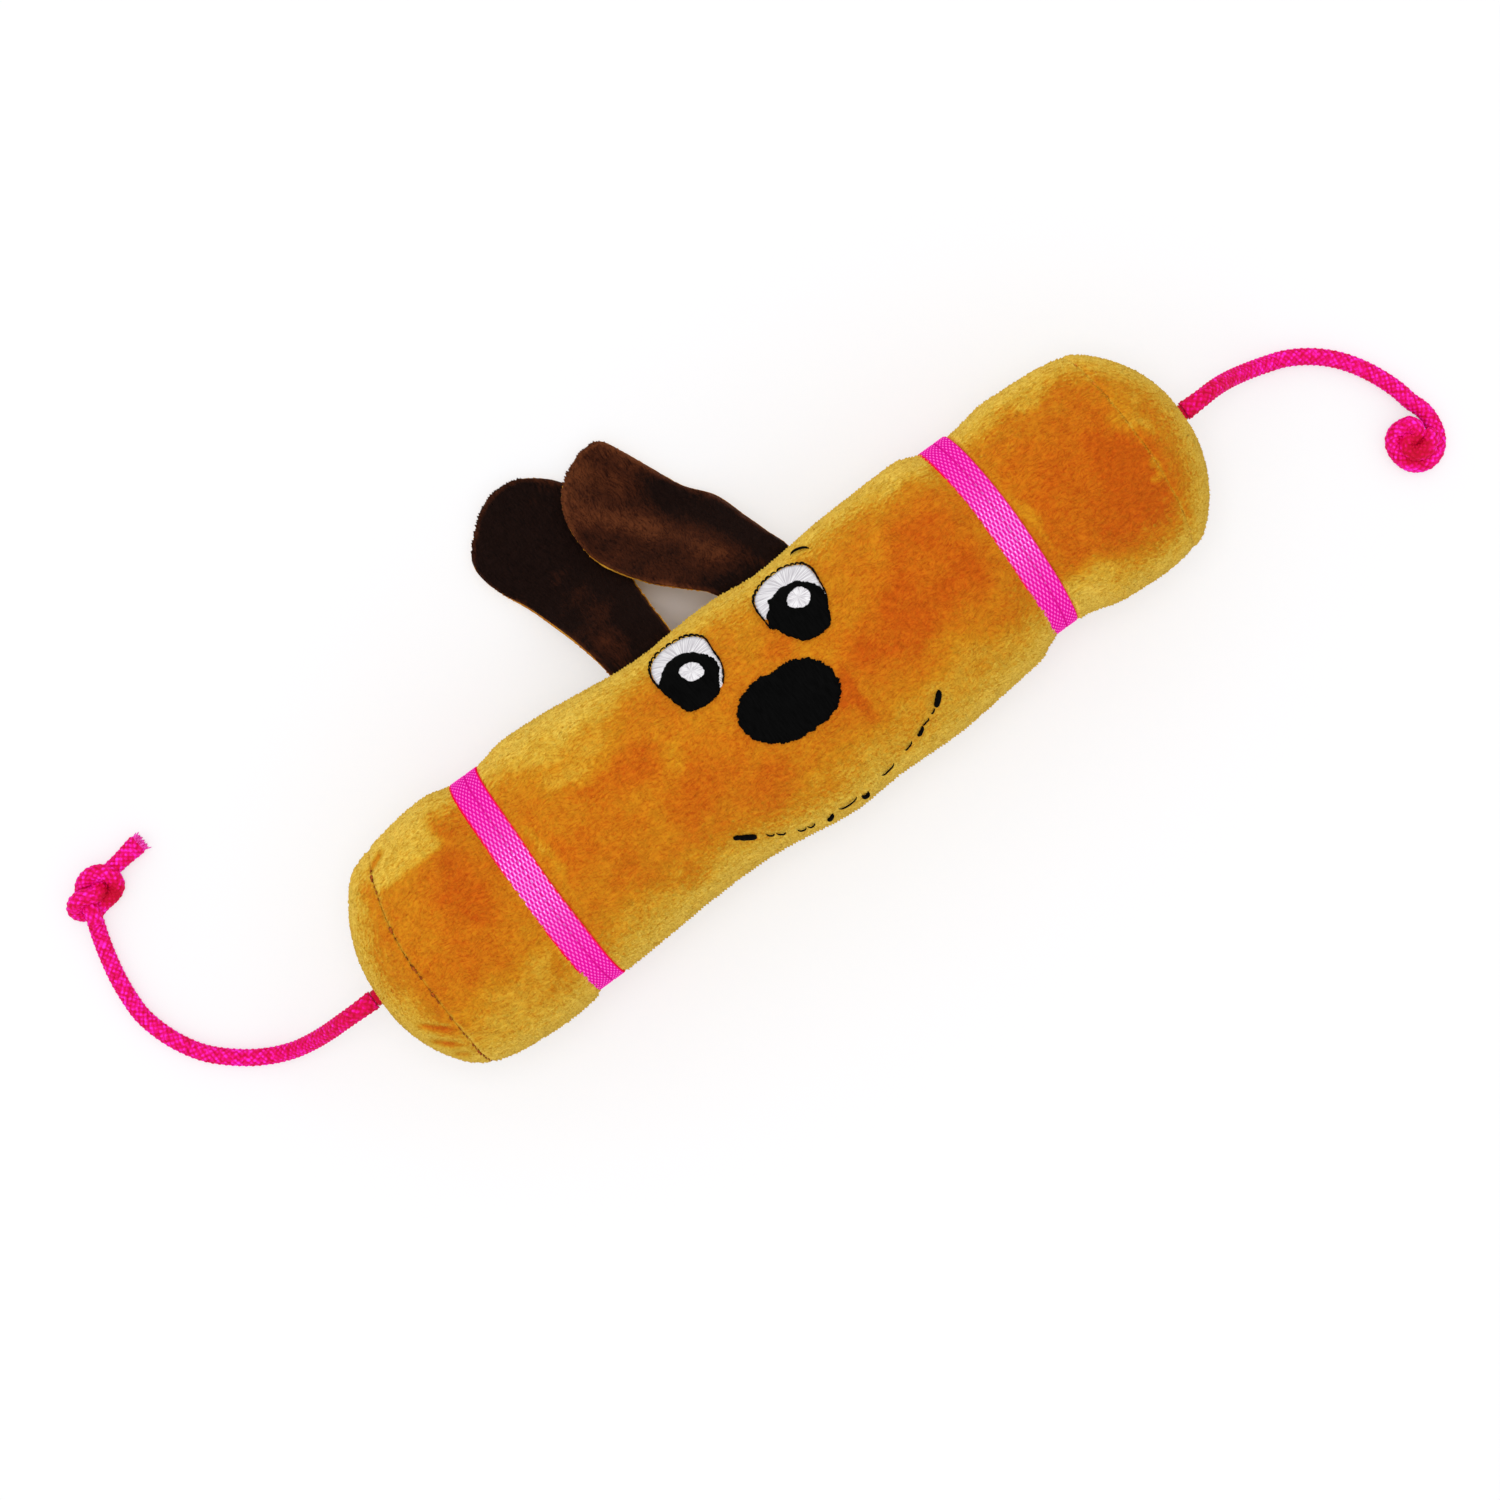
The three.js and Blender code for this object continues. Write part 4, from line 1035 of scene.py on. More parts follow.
def webbing(band):
    place, width = band["place"], band["width"]
    half_width, half_height, y, z = oval(place, *band["pinch"])
    girth = 2 * math.pi * half_width

    def at(u, v):
        angle = wrapped(v * 2 * math.pi)
        lift = WEB_FLOAT
        if u < WEB_TOP_SHARE:
            across = u / WEB_TOP_SHARE * width
            edge = min(across, width - across)
            lift += WEB_THICKNESS * smooth_step(*WEB_EDGE, edge)
            lift += BEAD_HEIGHT * bead_at(across, v * girth) * smooth_step(*BEAD_MARGIN, edge)
            lift -= WEB_STITCH_DEPTH * bell(across - WEB_STITCH_SHARE * width, WEB_STITCH_WIDTH)
        else:
            across = width * (1 - u) / (1 - WEB_TOP_SHARE)
        sway = WEB_SWAY * noise.noise(Vector((math.cos(angle), math.sin(angle), place)) * WEB_SWAY_WAVES)
        sway -= WEB_SLANT[band["node"]] * math.sin(angle) ** 2
        return Vector((place - width / 2 + across + sway, y + (half_width + lift) * math.sin(angle),
                       max(z + (half_height + lift) * math.cos(angle), FLOOR_GAP)))

    return close_up(grid_mesh(WEB_CORNERS_ACROSS, WEB_CORNERS_AROUND, at, (width / WEB_TOP_SHARE, girth)))


# %% [markdown]
# ## Webbing material
# Polypropylene filament is glossy, so the beads shine pale lilac under the lamp, while the yarn between
# them is a strong hot pink. The selvedge on both sides is a shade redder, and the thread line is darker.

# %% Woven polypropylene
# The thread line fades in over the two distances of WEB_THREAD from its middle, and the selvedge over
# those of SELVEDGE from the edge.
WEB_GLOSS = 1
GLOSS_REACH = 0.25
SHINING_BEAD = (-0.2, 0.3)
WEB_THREAD = (0.26, 0.1)
SELVEDGE = (0.85, 0.5)


def woven_polypropylene(width):
    material, tree, shader = start_material(
        "woven_polypropylene_webbing", Roughness=0.3, Coat_Roughness=0.3, Coat_IOR=1.5, IOR=2.6,
        Specular_Tint=linear("BCA4FF"))
    uv = add(tree, "ShaderNodeUVMap", uv_map="UVMap")
    split = add(tree, "ShaderNodeSeparateXYZ", {0: uv.outputs["UV"]})
    across = split.outputs["X"]

    def wave(place, frequency):
        return calculate(tree, "COSINE", calculate(tree, "MULTIPLY", place, frequency))

    def distance_from(middle):
        return calculate(tree, "ABSOLUTE", calculate(tree, "SUBTRACT", across, middle))

    bead = calculate(tree, "MULTIPLY", wave(across, 2 * math.pi / BEAD_ACROSS),
                     wave(split.outputs["Y"], math.pi / BEAD_ALONG))
    # Painted highlight and shade: the bead tops are paler and the yarn between them is darker.
    yarn_painted_light = ramp(tree, bead, (0.0, "DC149A"), (0.3, "FF2CAC"), (0.8, "FF6ADC"))
    thread = map_range(tree, distance_from(WEB_STITCH_SHARE * width), *WEB_THREAD)
    sewn = mix_colours(tree, thread, yarn_painted_light, linear("D01088"))
    edge = map_range(tree, distance_from(width / 2), *[width / 2 - reach for reach in SELVEDGE])
    facing = add(tree, "ShaderNodeLayerWeight", {"Blend": 0.5})
    gloss = map_range(tree, facing.outputs["Facing"], 0, GLOSS_REACH, WEB_GLOSS, 0)
    shine = calculate(tree, "MULTIPLY", gloss, map_range(tree, bead, *SHINING_BEAD))
    finish_surface(tree, shader, mix_colours(tree, edge, sewn, linear("EC1038")))
    tree.links.new(shine, shader.inputs["Specular IOR Level"])
    tree.links.new(shine, shader.inputs["Coat Weight"])
    return material


web_material = woven_polypropylene(BANDS[0]["width"])
for band in BANDS:
    finish_piece(webbing(band), f"webbing_{band['node']}", web_material, "root",
                 [band["node"]])

# %% [markdown]
# ## Embroidery
# The face is satin stitch: hundreds of parallel threads laid edge to edge, which end in a ragged line.
# Each patch is a grid from its middle to its outline. The outline is a smooth line through a few places
# read off the face, and every thread ends a little earlier or later than the next.

# %% Satin stitch
THREAD = 0.45
THREAD_RELIEF = 0.09
END_MEMORY = 0.45
END_STEP = 0.3
PAD_STEPS = 10
PAD_LIFT = 0.85
PAD_CROWN = 0.4
PAD_FLATNESS = 6
PAD_SPARE = 0.05
PAD_TOP_SHARE = 0.9
PAD_SKIRT = 1.1
EYE_CROWN = 0.15


def satin_patch(outline, ragged, seed, lift=PAD_LIFT, crown=PAD_CROWN):
    """A raised patch of satin stitch inside an outline of (along, around) places."""
    count = round(line_length(smooth_line(outline, 100, closed=True)) / THREAD) * 2
    rim = smooth_line(outline, count, closed=True)
    middle = sum(rim, Vector()) / count
    draw = random.Random(seed)
    ends = [0.0]
    for _ in range(count // 2 - 1):
        ends.append(END_MEMORY * ends[-1] + draw.uniform(-ragged, ragged))

    def place(u, v):
        i = round(v * count) % count
        spoke = rim[i] - middle
        end = ends[i // 2] if i % 2 == 0 else ends[i // 2] - END_STEP * ragged
        share = min(u / PAD_TOP_SHARE, 1)
        flat = middle + spoke.normalized() * (spoke.length + PAD_SPARE + end) * share
        if u > (1 + PAD_TOP_SHARE) / 2:
            return face_point(flat.x, flat.y, lift - PAD_SKIRT)
        ridge = THREAD_RELIEF * (1 if i % 2 == 0 else -1) * share
        return face_point(flat.x, flat.y, lift + crown * (1 - share ** PAD_FLATNESS) + ridge)

    return close_up(grid_mesh(PAD_STEPS, count, place, (10, count * THREAD / 2)))


# %% [markdown]
# ## Thread material
# Embroidery thread is rayon or polyester. White patches show the single threads as faint grey lines that
# run out from the iris. The black ones are matt: under light from all round, any gloss would turn them
# grey, so their specular level is close to nothing.

# %% Thread
THREAD_STRETCH = 0.12


def satin_thread(name, light, dark, radial, **values):
    material, tree, shader = start_material(name, **values)
    if radial:
        place = add(tree, "ShaderNodeUVMap", uv_map="UVMap").outputs["UV"]
        scale = (THREAD_STRETCH, 1 / THREAD, 1)
    else:
        place = object_place(tree)
        scale = [share / (THREAD * MM) for share in (1, THREAD_STRETCH, THREAD_STRETCH)]
    at = add(tree, "ShaderNodeMapping", {"Vector": place, "Scale": scale}).outputs["Vector"]
    lines = add(tree, "ShaderNodeTexNoise", {"Vector": at, "Scale": 1, "Detail": 2}).outputs["Fac"]
    finish_surface(tree, shader, ramp(tree, lines, (0.35, dark), (0.6, light)), lines)
    return material


white_thread = satin_thread("white_rayon_thread", "F4F2F4", "BDB8BE", True, Roughness=0.5)
black_thread = satin_thread("black_rayon_thread", "080808", "040404", False, Roughness=0.8,
                            Specular_IOR_Level=0.03)

# %% Eyes and nose
LEFT_WHITE = [
    (-25.6, 27.1), (-25.6, 30.3), (-25.1, 33.4), (-24.1, 36.1), (-22.8, 38), (-20.8, 39.6),
    (-18.6, 40.4), (-16.2, 40.5), (-13.8, 39.8), (-11.6, 39), (-9.9, 37.5), (-8.6, 35.9), (-7.5, 33.9),
    (-6.8, 31.6), (-6.8, 28.6), (-7, 25.4), (-7, 22.5), (-7.4, 20.4), (-8.1, 18.5), (-9.2, 16.6),
    (-10.2, 15.3), (-11.3, 14.6), (-14.1, 16), (-19.9, 18.6), (-24.9, 23.6)]
RIGHT_WHITE = [
    (11.2, 25.2), (10.9, 26.9), (10.9, 29.1), (11.2, 31.5), (11.7, 33.5), (12.8, 35.6), (14.4, 37.2),
    (16.4, 38.7), (18.6, 39.5), (20.7, 39.5), (22.9, 39.3), (24.6, 38.6), (26.1, 37.3), (27.6, 35.7),
    (28.8, 34.2), (29.8, 32.3), (30.3, 30), (30.4, 27.5), (30.2, 25), (29.9, 22.7), (29.7, 20.6),
    (29.1, 18), (25.2, 19.6), (18, 22.4), (13.1, 24.1)]
LEFT_IRIS = [
    (-25.7, 26.6), (-24.3, 28.1), (-23, 29.9), (-21.7, 31.3), (-19.9, 32.4), (-18.1, 33), (-16.5, 33.2),
    (-14.7, 32.4), (-13, 31.1), (-11.4, 29.5), (-10.1, 27.9), (-9, 26), (-8.1, 24), (-7.8, 22.3),
    (-8, 20.4), (-8.8, 18.6), (-9.9, 17.1), (-10.9, 15.3), (-11.7, 13.9), (-13, 13.3), (-14.6, 12.8),
    (-16.5, 12.5), (-18.3, 12.4), (-20.1, 12.7), (-21.7, 13.2), (-23, 14.1), (-23.7, 15.3), (-24.1, 17),
    (-24.6, 18.8), (-25.1, 20.6), (-25.5, 22.5), (-25.8, 24.6)]
RIGHT_IRIS = [
    (10.4, 21.7), (11.3, 23.2), (11.7, 25.2), (12.5, 26.4), (13.5, 26.9), (14.2, 28.4), (15.1, 30.3),
    (16.2, 30.2), (17.5, 30.7), (18.9, 31.2), (20.2, 31.4), (21.8, 30.8), (23.4, 30.2), (25, 29.3),
    (26.2, 27.8), (27.3, 26.2), (28.3, 24.8), (29.2, 22.9), (29.5, 21), (29.2, 18.8), (28.5, 16.9),
    (27.8, 15.2), (27, 13.5), (26.1, 12.1), (24.9, 11), (23.3, 10.6), (21.7, 10.3), (20.1, 10.6),
    (18.5, 10.8), (17.2, 11.1), (16.3, 11.9), (15.5, 13), (14.7, 14.2), (13.8, 15.4), (13.1, 16.9),
    (12.4, 18.5), (11.9, 20.1), (11, 20.8)]
LEFT_GLINT = [
    (-18.6, 25.7), (-18.5, 24), (-18.1, 22.6), (-17.2, 21.3), (-16, 20.6), (-14.6, 20.5), (-13, 20.7),
    (-12.1, 22.3), (-12.3, 23.9), (-12.8, 25.7), (-13.8, 26.8), (-15.3, 27.5), (-16.8, 27.5),
    (-18, 27.1)]
RIGHT_GLINT = [
    (18.9, 23.3), (19.4, 25.5), (20.6, 26.6), (22.2, 27), (23.8, 26.9), (25, 26.1), (25.7, 24.7),
    (25.9, 23), (25.4, 21.4), (24.1, 20.2), (22.5, 20), (21.2, 20.5), (20, 21.5)]
NOSE = [
    (-13.2, 0.2), (-12.6, 3.3), (-10.9, 6.4), (-8, 8.6), (-4.2, 9.8), (0.4, 10), (4.5, 9.6), (8, 9.6),
    (11.2, 8.8), (14.1, 6.9), (16.2, 4.4), (17.7, 1.3), (18.1, -1.6), (17.7, -4.1), (16.2, -6.7),
    (13.8, -8.9), (10.3, -10.4), (6, -10.9), (1, -10.9), (-3.6, -10.1), (-7.7, -8.2), (-10.6, -5.5),
    (-12.5, -2.6)]

for side, first_seed, white, iris, glint in (("left", 10, LEFT_WHITE, LEFT_IRIS, LEFT_GLINT),
                                             ("right", 20, RIGHT_WHITE, RIGHT_IRIS, RIGHT_GLINT)):
    layers = (("white", white, white_thread, 0.08, 0.0), ("iris", iris, black_thread, 0.2, 0.25),
              ("glint", glint, white_thread, 0.15, 0.5))
    for seed, (part, outline, material, ragged, higher) in enumerate(layers, first_seed):
        patch = satin_patch(outline, ragged, seed, PAD_LIFT + higher, EYE_CROWN)
        finish_piece(patch, f"{side}_eye_{part}_stitches", material, "root",
                     [f"eye_{side}_{part}"])
finish_piece(satin_patch(NOSE, 0.35, 5), "nose_stitches", black_thread, "root", ["nose"])


# %% [markdown]
# ## Running stitches
# The thin black line round each eye and the smile are running stitches: short lengths of thread that dive
# into the plush at both ends. Each is a small grid rolled into a tapered tube.

# %% Stitches
STITCH_SIDES = 8
STITCH_POINTS = 9
STITCH_DIVE = 0.1
DASH_STRAY = 0.12
DASH_LENGTHS = (0.6, 1)
DASH_THICKNESSES = (0.7, 1.2)
DASH_GAPS = (0, 1.6)


def arch(i, last):
    """1 in the middle of a row of points, and 0 at both ends."""
    return 1 - (2 * i / last - 1) ** 4


def stitch_mesh(mesh, line, thickness):
    """Adds one length of thread along a line of points, thickest in its middle."""
    frames = steady_frames(line)
    last = len(line) - 1

    def place(u, v):
        i = round(u * last)
        side, up = frames[i]
        swell = math.sqrt(max(arch(i, last), 0))
        angle = v * 2 * math.pi
        return line[i] + (side * math.cos(angle) + up * math.sin(angle)) * thickness / 2 * swell

    part = close_up(grid_mesh(last, STITCH_SIDES, place, (line_length(line), thickness * 3)))
    data = bpy.data.meshes.new("stitch")
    part.to_mesh(data)
    part.free()
    mesh.from_mesh(data)
    bpy.data.meshes.remove(data)


def stitches(runs, lift, surface=face_point):
    """Threads along (thickness, places) runs. Each run is one stitch."""
    mesh = bmesh.new()
    for thickness, run in runs:
        heights = [lift * arch(i, STITCH_POINTS - 1) - STITCH_DIVE for i in range(STITCH_POINTS)]
        flat = smooth_line(run, STITCH_POINTS)
        stitch_mesh(mesh, [surface(p.x, p.y, height) for p, height in zip(flat, heights)], thickness)
    return mesh


def dashed(outline, length, gap, thickness, seed):
    """Cuts a line through places into uneven stitches with gaps between them."""
    draw = random.Random(seed)
    fine = smooth_line(outline, 400)
    step = line_length(fine) / (len(fine) - 1)
    runs = []
    i = 0
    while i + length / step < len(fine) - 1:
        size = length * draw.uniform(*DASH_LENGTHS) / step
        aside = Vector((draw.uniform(-DASH_STRAY, DASH_STRAY), draw.uniform(-DASH_STRAY, DASH_STRAY), 0))
        ends = [fine[round(i)] + aside, fine[round(i + size / 2)], fine[round(i + size)]]
        runs.append((thickness * draw.uniform(*DASH_THICKNESSES), [(p.x, p.y) for p in ends]))
        i += size + gap * draw.uniform(*DASH_GAPS) / step
    return runs


LEFT_OUTLINE = [
    (-25.9, 26.2), (-26.1, 30.7), (-25.2, 35.5), (-24.1, 38), (-22.7, 39.6), (-20.8, 40.8),
    (-16.5, 41.2), (-13.8, 40.6), (-11.4, 39.8), (-9.8, 38.4), (-8.3, 36.5), (-7.1, 34.4), (-6.4, 32),
    (-6.5, 29), (-6.7, 25.8), (-6.7, 22.5), (-7.1, 20), (-8, 17.9), (-9.2, 16), (-11.2, 13.8)]
RIGHT_OUTLINE = [
    (10.6, 22.2), (10.5, 25.5), (10.5, 28.7), (10.7, 31.4), (11.2, 33.7), (12.2, 35.8), (13.7, 37.6),
    (15.6, 39.2), (17.8, 40), (20.2, 40.3), (22.6, 40), (24.5, 39.3), (26.3, 37.9), (28, 36.2),
    (29.4, 34.5), (30.2, 32.5), (30.8, 30), (30.8, 27.4), (30.5, 24.7), (30.2, 22.1), (29.9, 20.3),
    (29.3, 18.3), (28.6, 16.8)]
for side, outline, seed in (("left", LEFT_OUTLINE, 41), ("right", RIGHT_OUTLINE, 42)):
    runs = dashed(outline, 2.6, 0, 0.62, seed)
    finish_piece(stitches(runs, 1.25), f"{side}_eye_outline", black_thread, "root")

# %% Smile and brow
THIN_RUNS = [
    [(-25.7, -33.7), (-24.7, -34.9), (-23.6, -35.9)], [(-23.2, -36.2), (-22, -37.5), (-20.7, -38.8)],
    [(-17.6, -41.4), (-16.4, -42.3), (-14.9, -43.1)], [(-14.6, -43), (-13.5, -43.5), (-12, -43)],
    [(-4.3, -43.5), (-0.7, -43.7), (2.8, -43.4)], [(12, -42.2), (14.6, -41), (17.4, -40.4)],
    [(21.9, -37.9), (23.1, -36.8), (25.2, -36)], [(30.3, -32.9), (31.4, -32), (33.2, -31.9)],
    [(34.3, -31), (35.2, -30.2), (36, -30)]]
DASHES = [
    (1.8, [(-33, -27.8), (-30.7, -29.3), (-28.2, -31.9)]),
    (1.5, [(-34, -26.9), (-33.2, -27.1), (-32.2, -27.9)]),
    (1.3, [(-8.5, -46.4), (-7.4, -45), (-6.2, -43.9)]), (1.3, [(3.8, -44.9), (4.9, -46.4), (6.2, -45.4)]),
    (1.2, [(27.4, -35.4), (28.6, -34.3), (30.2, -33)]),
    (1.9, [(36.4, -29.8), (38.1, -27.7), (40.1, -25.3)])]
finish_piece(stitches([(0.55, run) for run in THIN_RUNS] + DASHES, 1.0), "smile_stitches", black_thread,
             "root", ["mouth"])
BROW = [(28.3, 44.5), (30.6, 43.1), (32.6, 41.1), (34.2, 39.2)]
finish_piece(stitches([(0.8, BROW)], 1.0), "brow_stitch_right", black_thread, "root",
             ["brow_right"])

# %% [markdown]
# ## Ears
# An ear is two plush panels sewn face to face and turned: dark brown above, golden below, caught in the
# body's side seam. It bends at that seam. Each ear is a grid between two edge lines, thick like a flat
# pillow, laid down to the table. The golden panel rolls a little over the edge, which is the thin bright
# rim on the brown.

# %% Shape of the ears
# The edges run from root to tip on the plan. The drape gives the share of the root's height along the ear.
EARS = {
    "left": {
        "left_edge": [(-36.3, 37.4), (-38.3, 48.1), (-42.3, 61), (-45.6, 70.1), (-49.5, 78.3),
                      (-51.3, 86.6), (-50.4, 91.5), (-46.6, 96), (-41.8, 100.2), (-35.9, 103.4),
                      (-30.5, 104.5)],
        "right_edge": [(-13.1, 37.4), (-13.3, 50.1), (-13, 57.5), (-12.8, 66), (-12.6, 76), (-11, 84),
                       (-11.2, 90), (-14, 95.5), (-18.8, 100.3), (-24.5, 103.6), (-30.5, 104.5)],
        "drape": [(0, 1), (0.1, 0.88), (0.25, 0.56), (0.4, 0.24), (0.52, 0.105), (0.65, 0.08), (1, 0.08)],
    },
    "right": {
        "left_edge": [(4, 37.5), (-3.3, 45.4), (-10.6, 52.9), (-17, 62.1), (-19.9, 69.2), (-20.6, 77.2),
                      (-19.2, 85.2), (-15.1, 92), (-9.1, 96.3), (-4.3, 98.4), (-1, 98.9)],
        "right_edge": [(30.5, 37.5), (28.5, 43.5), (25.9, 52.3), (22.5, 63.4), (16.1, 72.1), (11.5, 82.1),
                       (7.2, 91.6), (5, 96), (3.2, 98.2), (1.2, 98.9), (-1, 98.9)],
        "drape": [(0, 1), (0.1, 0.88), (0.25, 0.58), (0.4, 0.3), (0.52, 0.19), (0.65, 0.15), (1, 0.12)],
    },
}
EAR_LENGTH = 65.2
EAR_HALF = 2.1
EAR_STEP = 0.8
EAR_PILE = 1.5
EAR_TUCK = 4
EAR_SPAN = (70, 36)
EAR_POINTS = 120
DRAPE_STEP = 0.01
ROOT_SLOPE = 0.1
FOLD_START = (40, 62)
LEFT_RIDGE_MIDDLE = (-27, 60)
LEFT_RIDGE_ACROSS = (1, 0.15)
LEFT_RIDGE_WIDTH = 7
LEFT_RIDGE_HEIGHT = 1.6
OVERLAP_EDGE = (-4, -15)
OVERLAP_HEIGHT = 4.6
RIGHT_FOLD_MIDDLE = (8, 62)
RIGHT_FOLD_ACROSS = (0.86, 0.5)
# Rows of a fold: its shift across the ear, its width and its height.
RIGHT_FOLDS = [(-7, 6, 2.6), (4, 5, -1.2)]
RIGHT_FOLD_START = (42, 52)
RIGHT_FOLD_END = (80, 96)
RIGHT_FOLD_LOSS = 0.7
HINGE = {joint["child"]: Vector(joint["pos_m"]) / MM for joint in frame["joints"]}


def ear_surface(side, s, t, out):
    """A point of an ear: s from root to tip, t from edge to edge, out from its middle layer."""
    drape = EARS[side]["drape"]
    hinge = HINGE[f"ear_{side}"]
    left, right = edge_lines(side)
    i = s * (len(left) - 1)
    k = min(int(i), len(left) - 2)
    a = left[k].lerp(left[k + 1], i - k)
    b = right[k].lerp(right[k + 1], i - k)
    flat = a.lerp(b, (t + 1) / 2)
    share = (flat.y - hinge.y) / EAR_LENGTH
    rise = read_table(drape, max(share, 0))
    ahead = read_table(drape, max(share, 0) + DRAPE_STEP)
    tangent = Vector((0, EAR_LENGTH * DRAPE_STEP, hinge.z * (ahead - rise))).normalized()
    up = Vector((0, -tangent.z, tangent.y))
    point = Vector((flat.x, max(flat.y, 0), hinge.z * rise + ear_fold(side, flat)))
    if share < 0:
        point.z = hinge.z + share * EAR_LENGTH * ROOT_SLOPE
        up = Vector((0, 0, 1))
    return point + up * out


def way_across(point, middle, across):
    """How far a point lies from a line through the middle, measured in the direction across."""
    return (point.x - middle[0]) * across[0] + (point.y - middle[1]) * across[1]


def ear_fold(side, flat):
    """Soft folds: the right ear lies over the left one, and has a ridge and a dip along its length."""
    grown = smooth_step(*FOLD_START, flat.y)
    if side == "left":
        aside = way_across(flat, LEFT_RIDGE_MIDDLE, LEFT_RIDGE_ACROSS)
        return LEFT_RIDGE_HEIGHT * bell(aside, LEFT_RIDGE_WIDTH) * grown
    over = OVERLAP_HEIGHT * smooth_step(*OVERLAP_EDGE, flat.x) * grown
    aside = way_across(flat, RIGHT_FOLD_MIDDLE, RIGHT_FOLD_ACROSS)
    folds = sum(height * bell(aside - middle, width) for middle, width, height in RIGHT_FOLDS)
    left_over = 1 - RIGHT_FOLD_LOSS * smooth_step(*RIGHT_FOLD_END, flat.y)
    return over + folds * smooth_step(*RIGHT_FOLD_START, flat.y) * left_over


@functools.lru_cache(maxsize=None)
def edge_lines(side):
    """The left and the right edge of an ear on the plan, each begun a little way inside the body."""
    edges = [EARS[side]["left_edge"], EARS[side]["right_edge"]]
    return [smooth_line([Vector(edge[0]) - Vector((0, EAR_TUCK)), *edge], EAR_POINTS) for edge in edges]


# %% Ear panels
# How far the golden rim rolls over the left and the right edge, as a share of the half width along the ear.
RIM_ROLL = {
    "left": ([(0, 0.035), (0.45, 0.035), (0.65, 0.01), (1, 0.006)],
             [(0, 0.022), (0.3, 0.022), (0.5, 0.008), (1, 0.006)]),
    "right": ([(0, 0.008), (0.3, 0.012), (0.42, 0.026), (0.52, 0.026), (0.66, 0.01), (1, 0.006)],
              [(0, 0.012), (0.5, 0.012), (1, 0.008)])}
RIM_PILE = 0.7
RIM_DROP = 0.1
SHOWN_SHARE = {"front": 0.8, "back": 0.85}
INNER_LIFT = {"front": 0.2, "back": -0.1}
PILLOW_EDGE = 3.2
PILLOW_TIP = 0.9


def pillow(t, s):
    """The share of the full thickness at a place across and along an ear."""
    tip = 1 - smooth_step(PILLOW_TIP, 1, s) ** 2
    return math.sqrt(max(1 - abs(t) ** PILLOW_EDGE, 0)) * math.sqrt(max(tip, 0))


def ear_panel(side, part):
    """One panel: over its shown side from edge to edge, and back over its inner side. Where the golden
    back panel goes past an edge, it rolls up on the face of the ear."""
    front = part == "front"
    shown = SHOWN_SHARE[part]
    rows = round(EAR_SPAN[0] / EAR_STEP)
    columns = round(EAR_SPAN[1] / EAR_STEP)

    def place(u, v):
        left_roll, right_roll = [read_table(table, u) for table in RIM_ROLL[side]]
        v = v if v < 0.999 else 0  # the last column closes on the first
        if v > shown:
            t = 1 - right_roll - (2 - left_roll - right_roll) * (v - shown) / (1 - shown)
            return ear_surface(side, u, t, INNER_LIFT[part] * pillow(t, u))
        if front:
            t = -1 + left_roll + (2 - left_roll - right_roll) * v / shown
            return ear_surface(side, u, t, EAR_HALF * pillow(t, u))
        turn = v / shown * (2 + left_roll + right_roll) - left_roll
        if 0 <= turn <= 2:
            return ear_surface(side, u, turn - 1, -EAR_HALF * pillow(turn - 1, u))
        t = -1 - turn if turn < 0 else 3 - turn
        return ear_surface(side, u, t, EAR_HALF * pillow(t, u) - RIM_DROP)

    mesh = grid_mesh(rows, columns, place, EAR_SPAN)
    mark_pile(mesh, lambda u, v: v < shown * EAR_SPAN[1] - EAR_STEP)
    close_up(mesh)
    fill_ends(mesh)
    raise_pile(mesh, 31, (0, 0.8, 0), EAR_PILE if front else RIM_PILE)
    paint(mesh, "nap", functools.partial(ear_nap, side) if front else ear_back_nap)
    piece = finish_piece(mesh, f"{side}_ear_{part}", brown_minky if front else backing_minky, None)
    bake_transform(piece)
    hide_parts(f"ear_{side}_{part}")


def fill_ends(mesh):
    """Closes the open root of an ear."""
    rim = [edge for edge in mesh.edges if edge.is_boundary]
    if rim:
        bmesh.ops.holes_fill(mesh, edges=rim, sides=0)
        bmesh.ops.recalc_face_normals(mesh, faces=mesh.faces)


def rim_distance(side, point):
    return min((p.xy - point.xy).length for line in edge_lines(side) for p in line)


# %% Nap of the ears
# Rows of a painted highlight along a ridge: how much paler it is, its middle, its direction across, its
# width, and where along y it fades in.
EAR_RIDGE_HIGHLIGHTS = {
    "left": [(0.2, (-29, 0), (1, 0), 5, (80, 62)), (0.16, (-34, 0), (1, 0), 6, (60, 46))],
    "right": [(0.32, (4, 62), (0.8, 0.6), 4, (88, 72))]}
EAR_TONE = {"left": 1.02, "right": 0.6}
EAR_CLOUDS = ((9, 0.22), (3, 0.12))
RIM_REACH = (0.4, 2)
RIM_PALE = 0.45
# Painted shade: the right ear's dip is darker, and so is the right ear near its root.
DIP_MIDDLE = (12.3, 69)
DIP_ACROSS = (0.9, 0.43)
DIP_WIDTH = 3.5
DIP_SPREAD = 3
DIP_SPREAD_REACH = (90, 60)
DIP_SHADE_TONE = 0.5
DIP_FADE = 0.6
ROOT_SHADE_REACH = (38, 48)
ROOT_SHADE_TONE = 0.35
UPPER_REACH = (72, 94)
UPPER_PALE = 0.3
BACK_RIM_SHADE_TONE = 0.48
BACK_CLOUDS = ((7, 0.3),)
BACK_TURN = -0.2


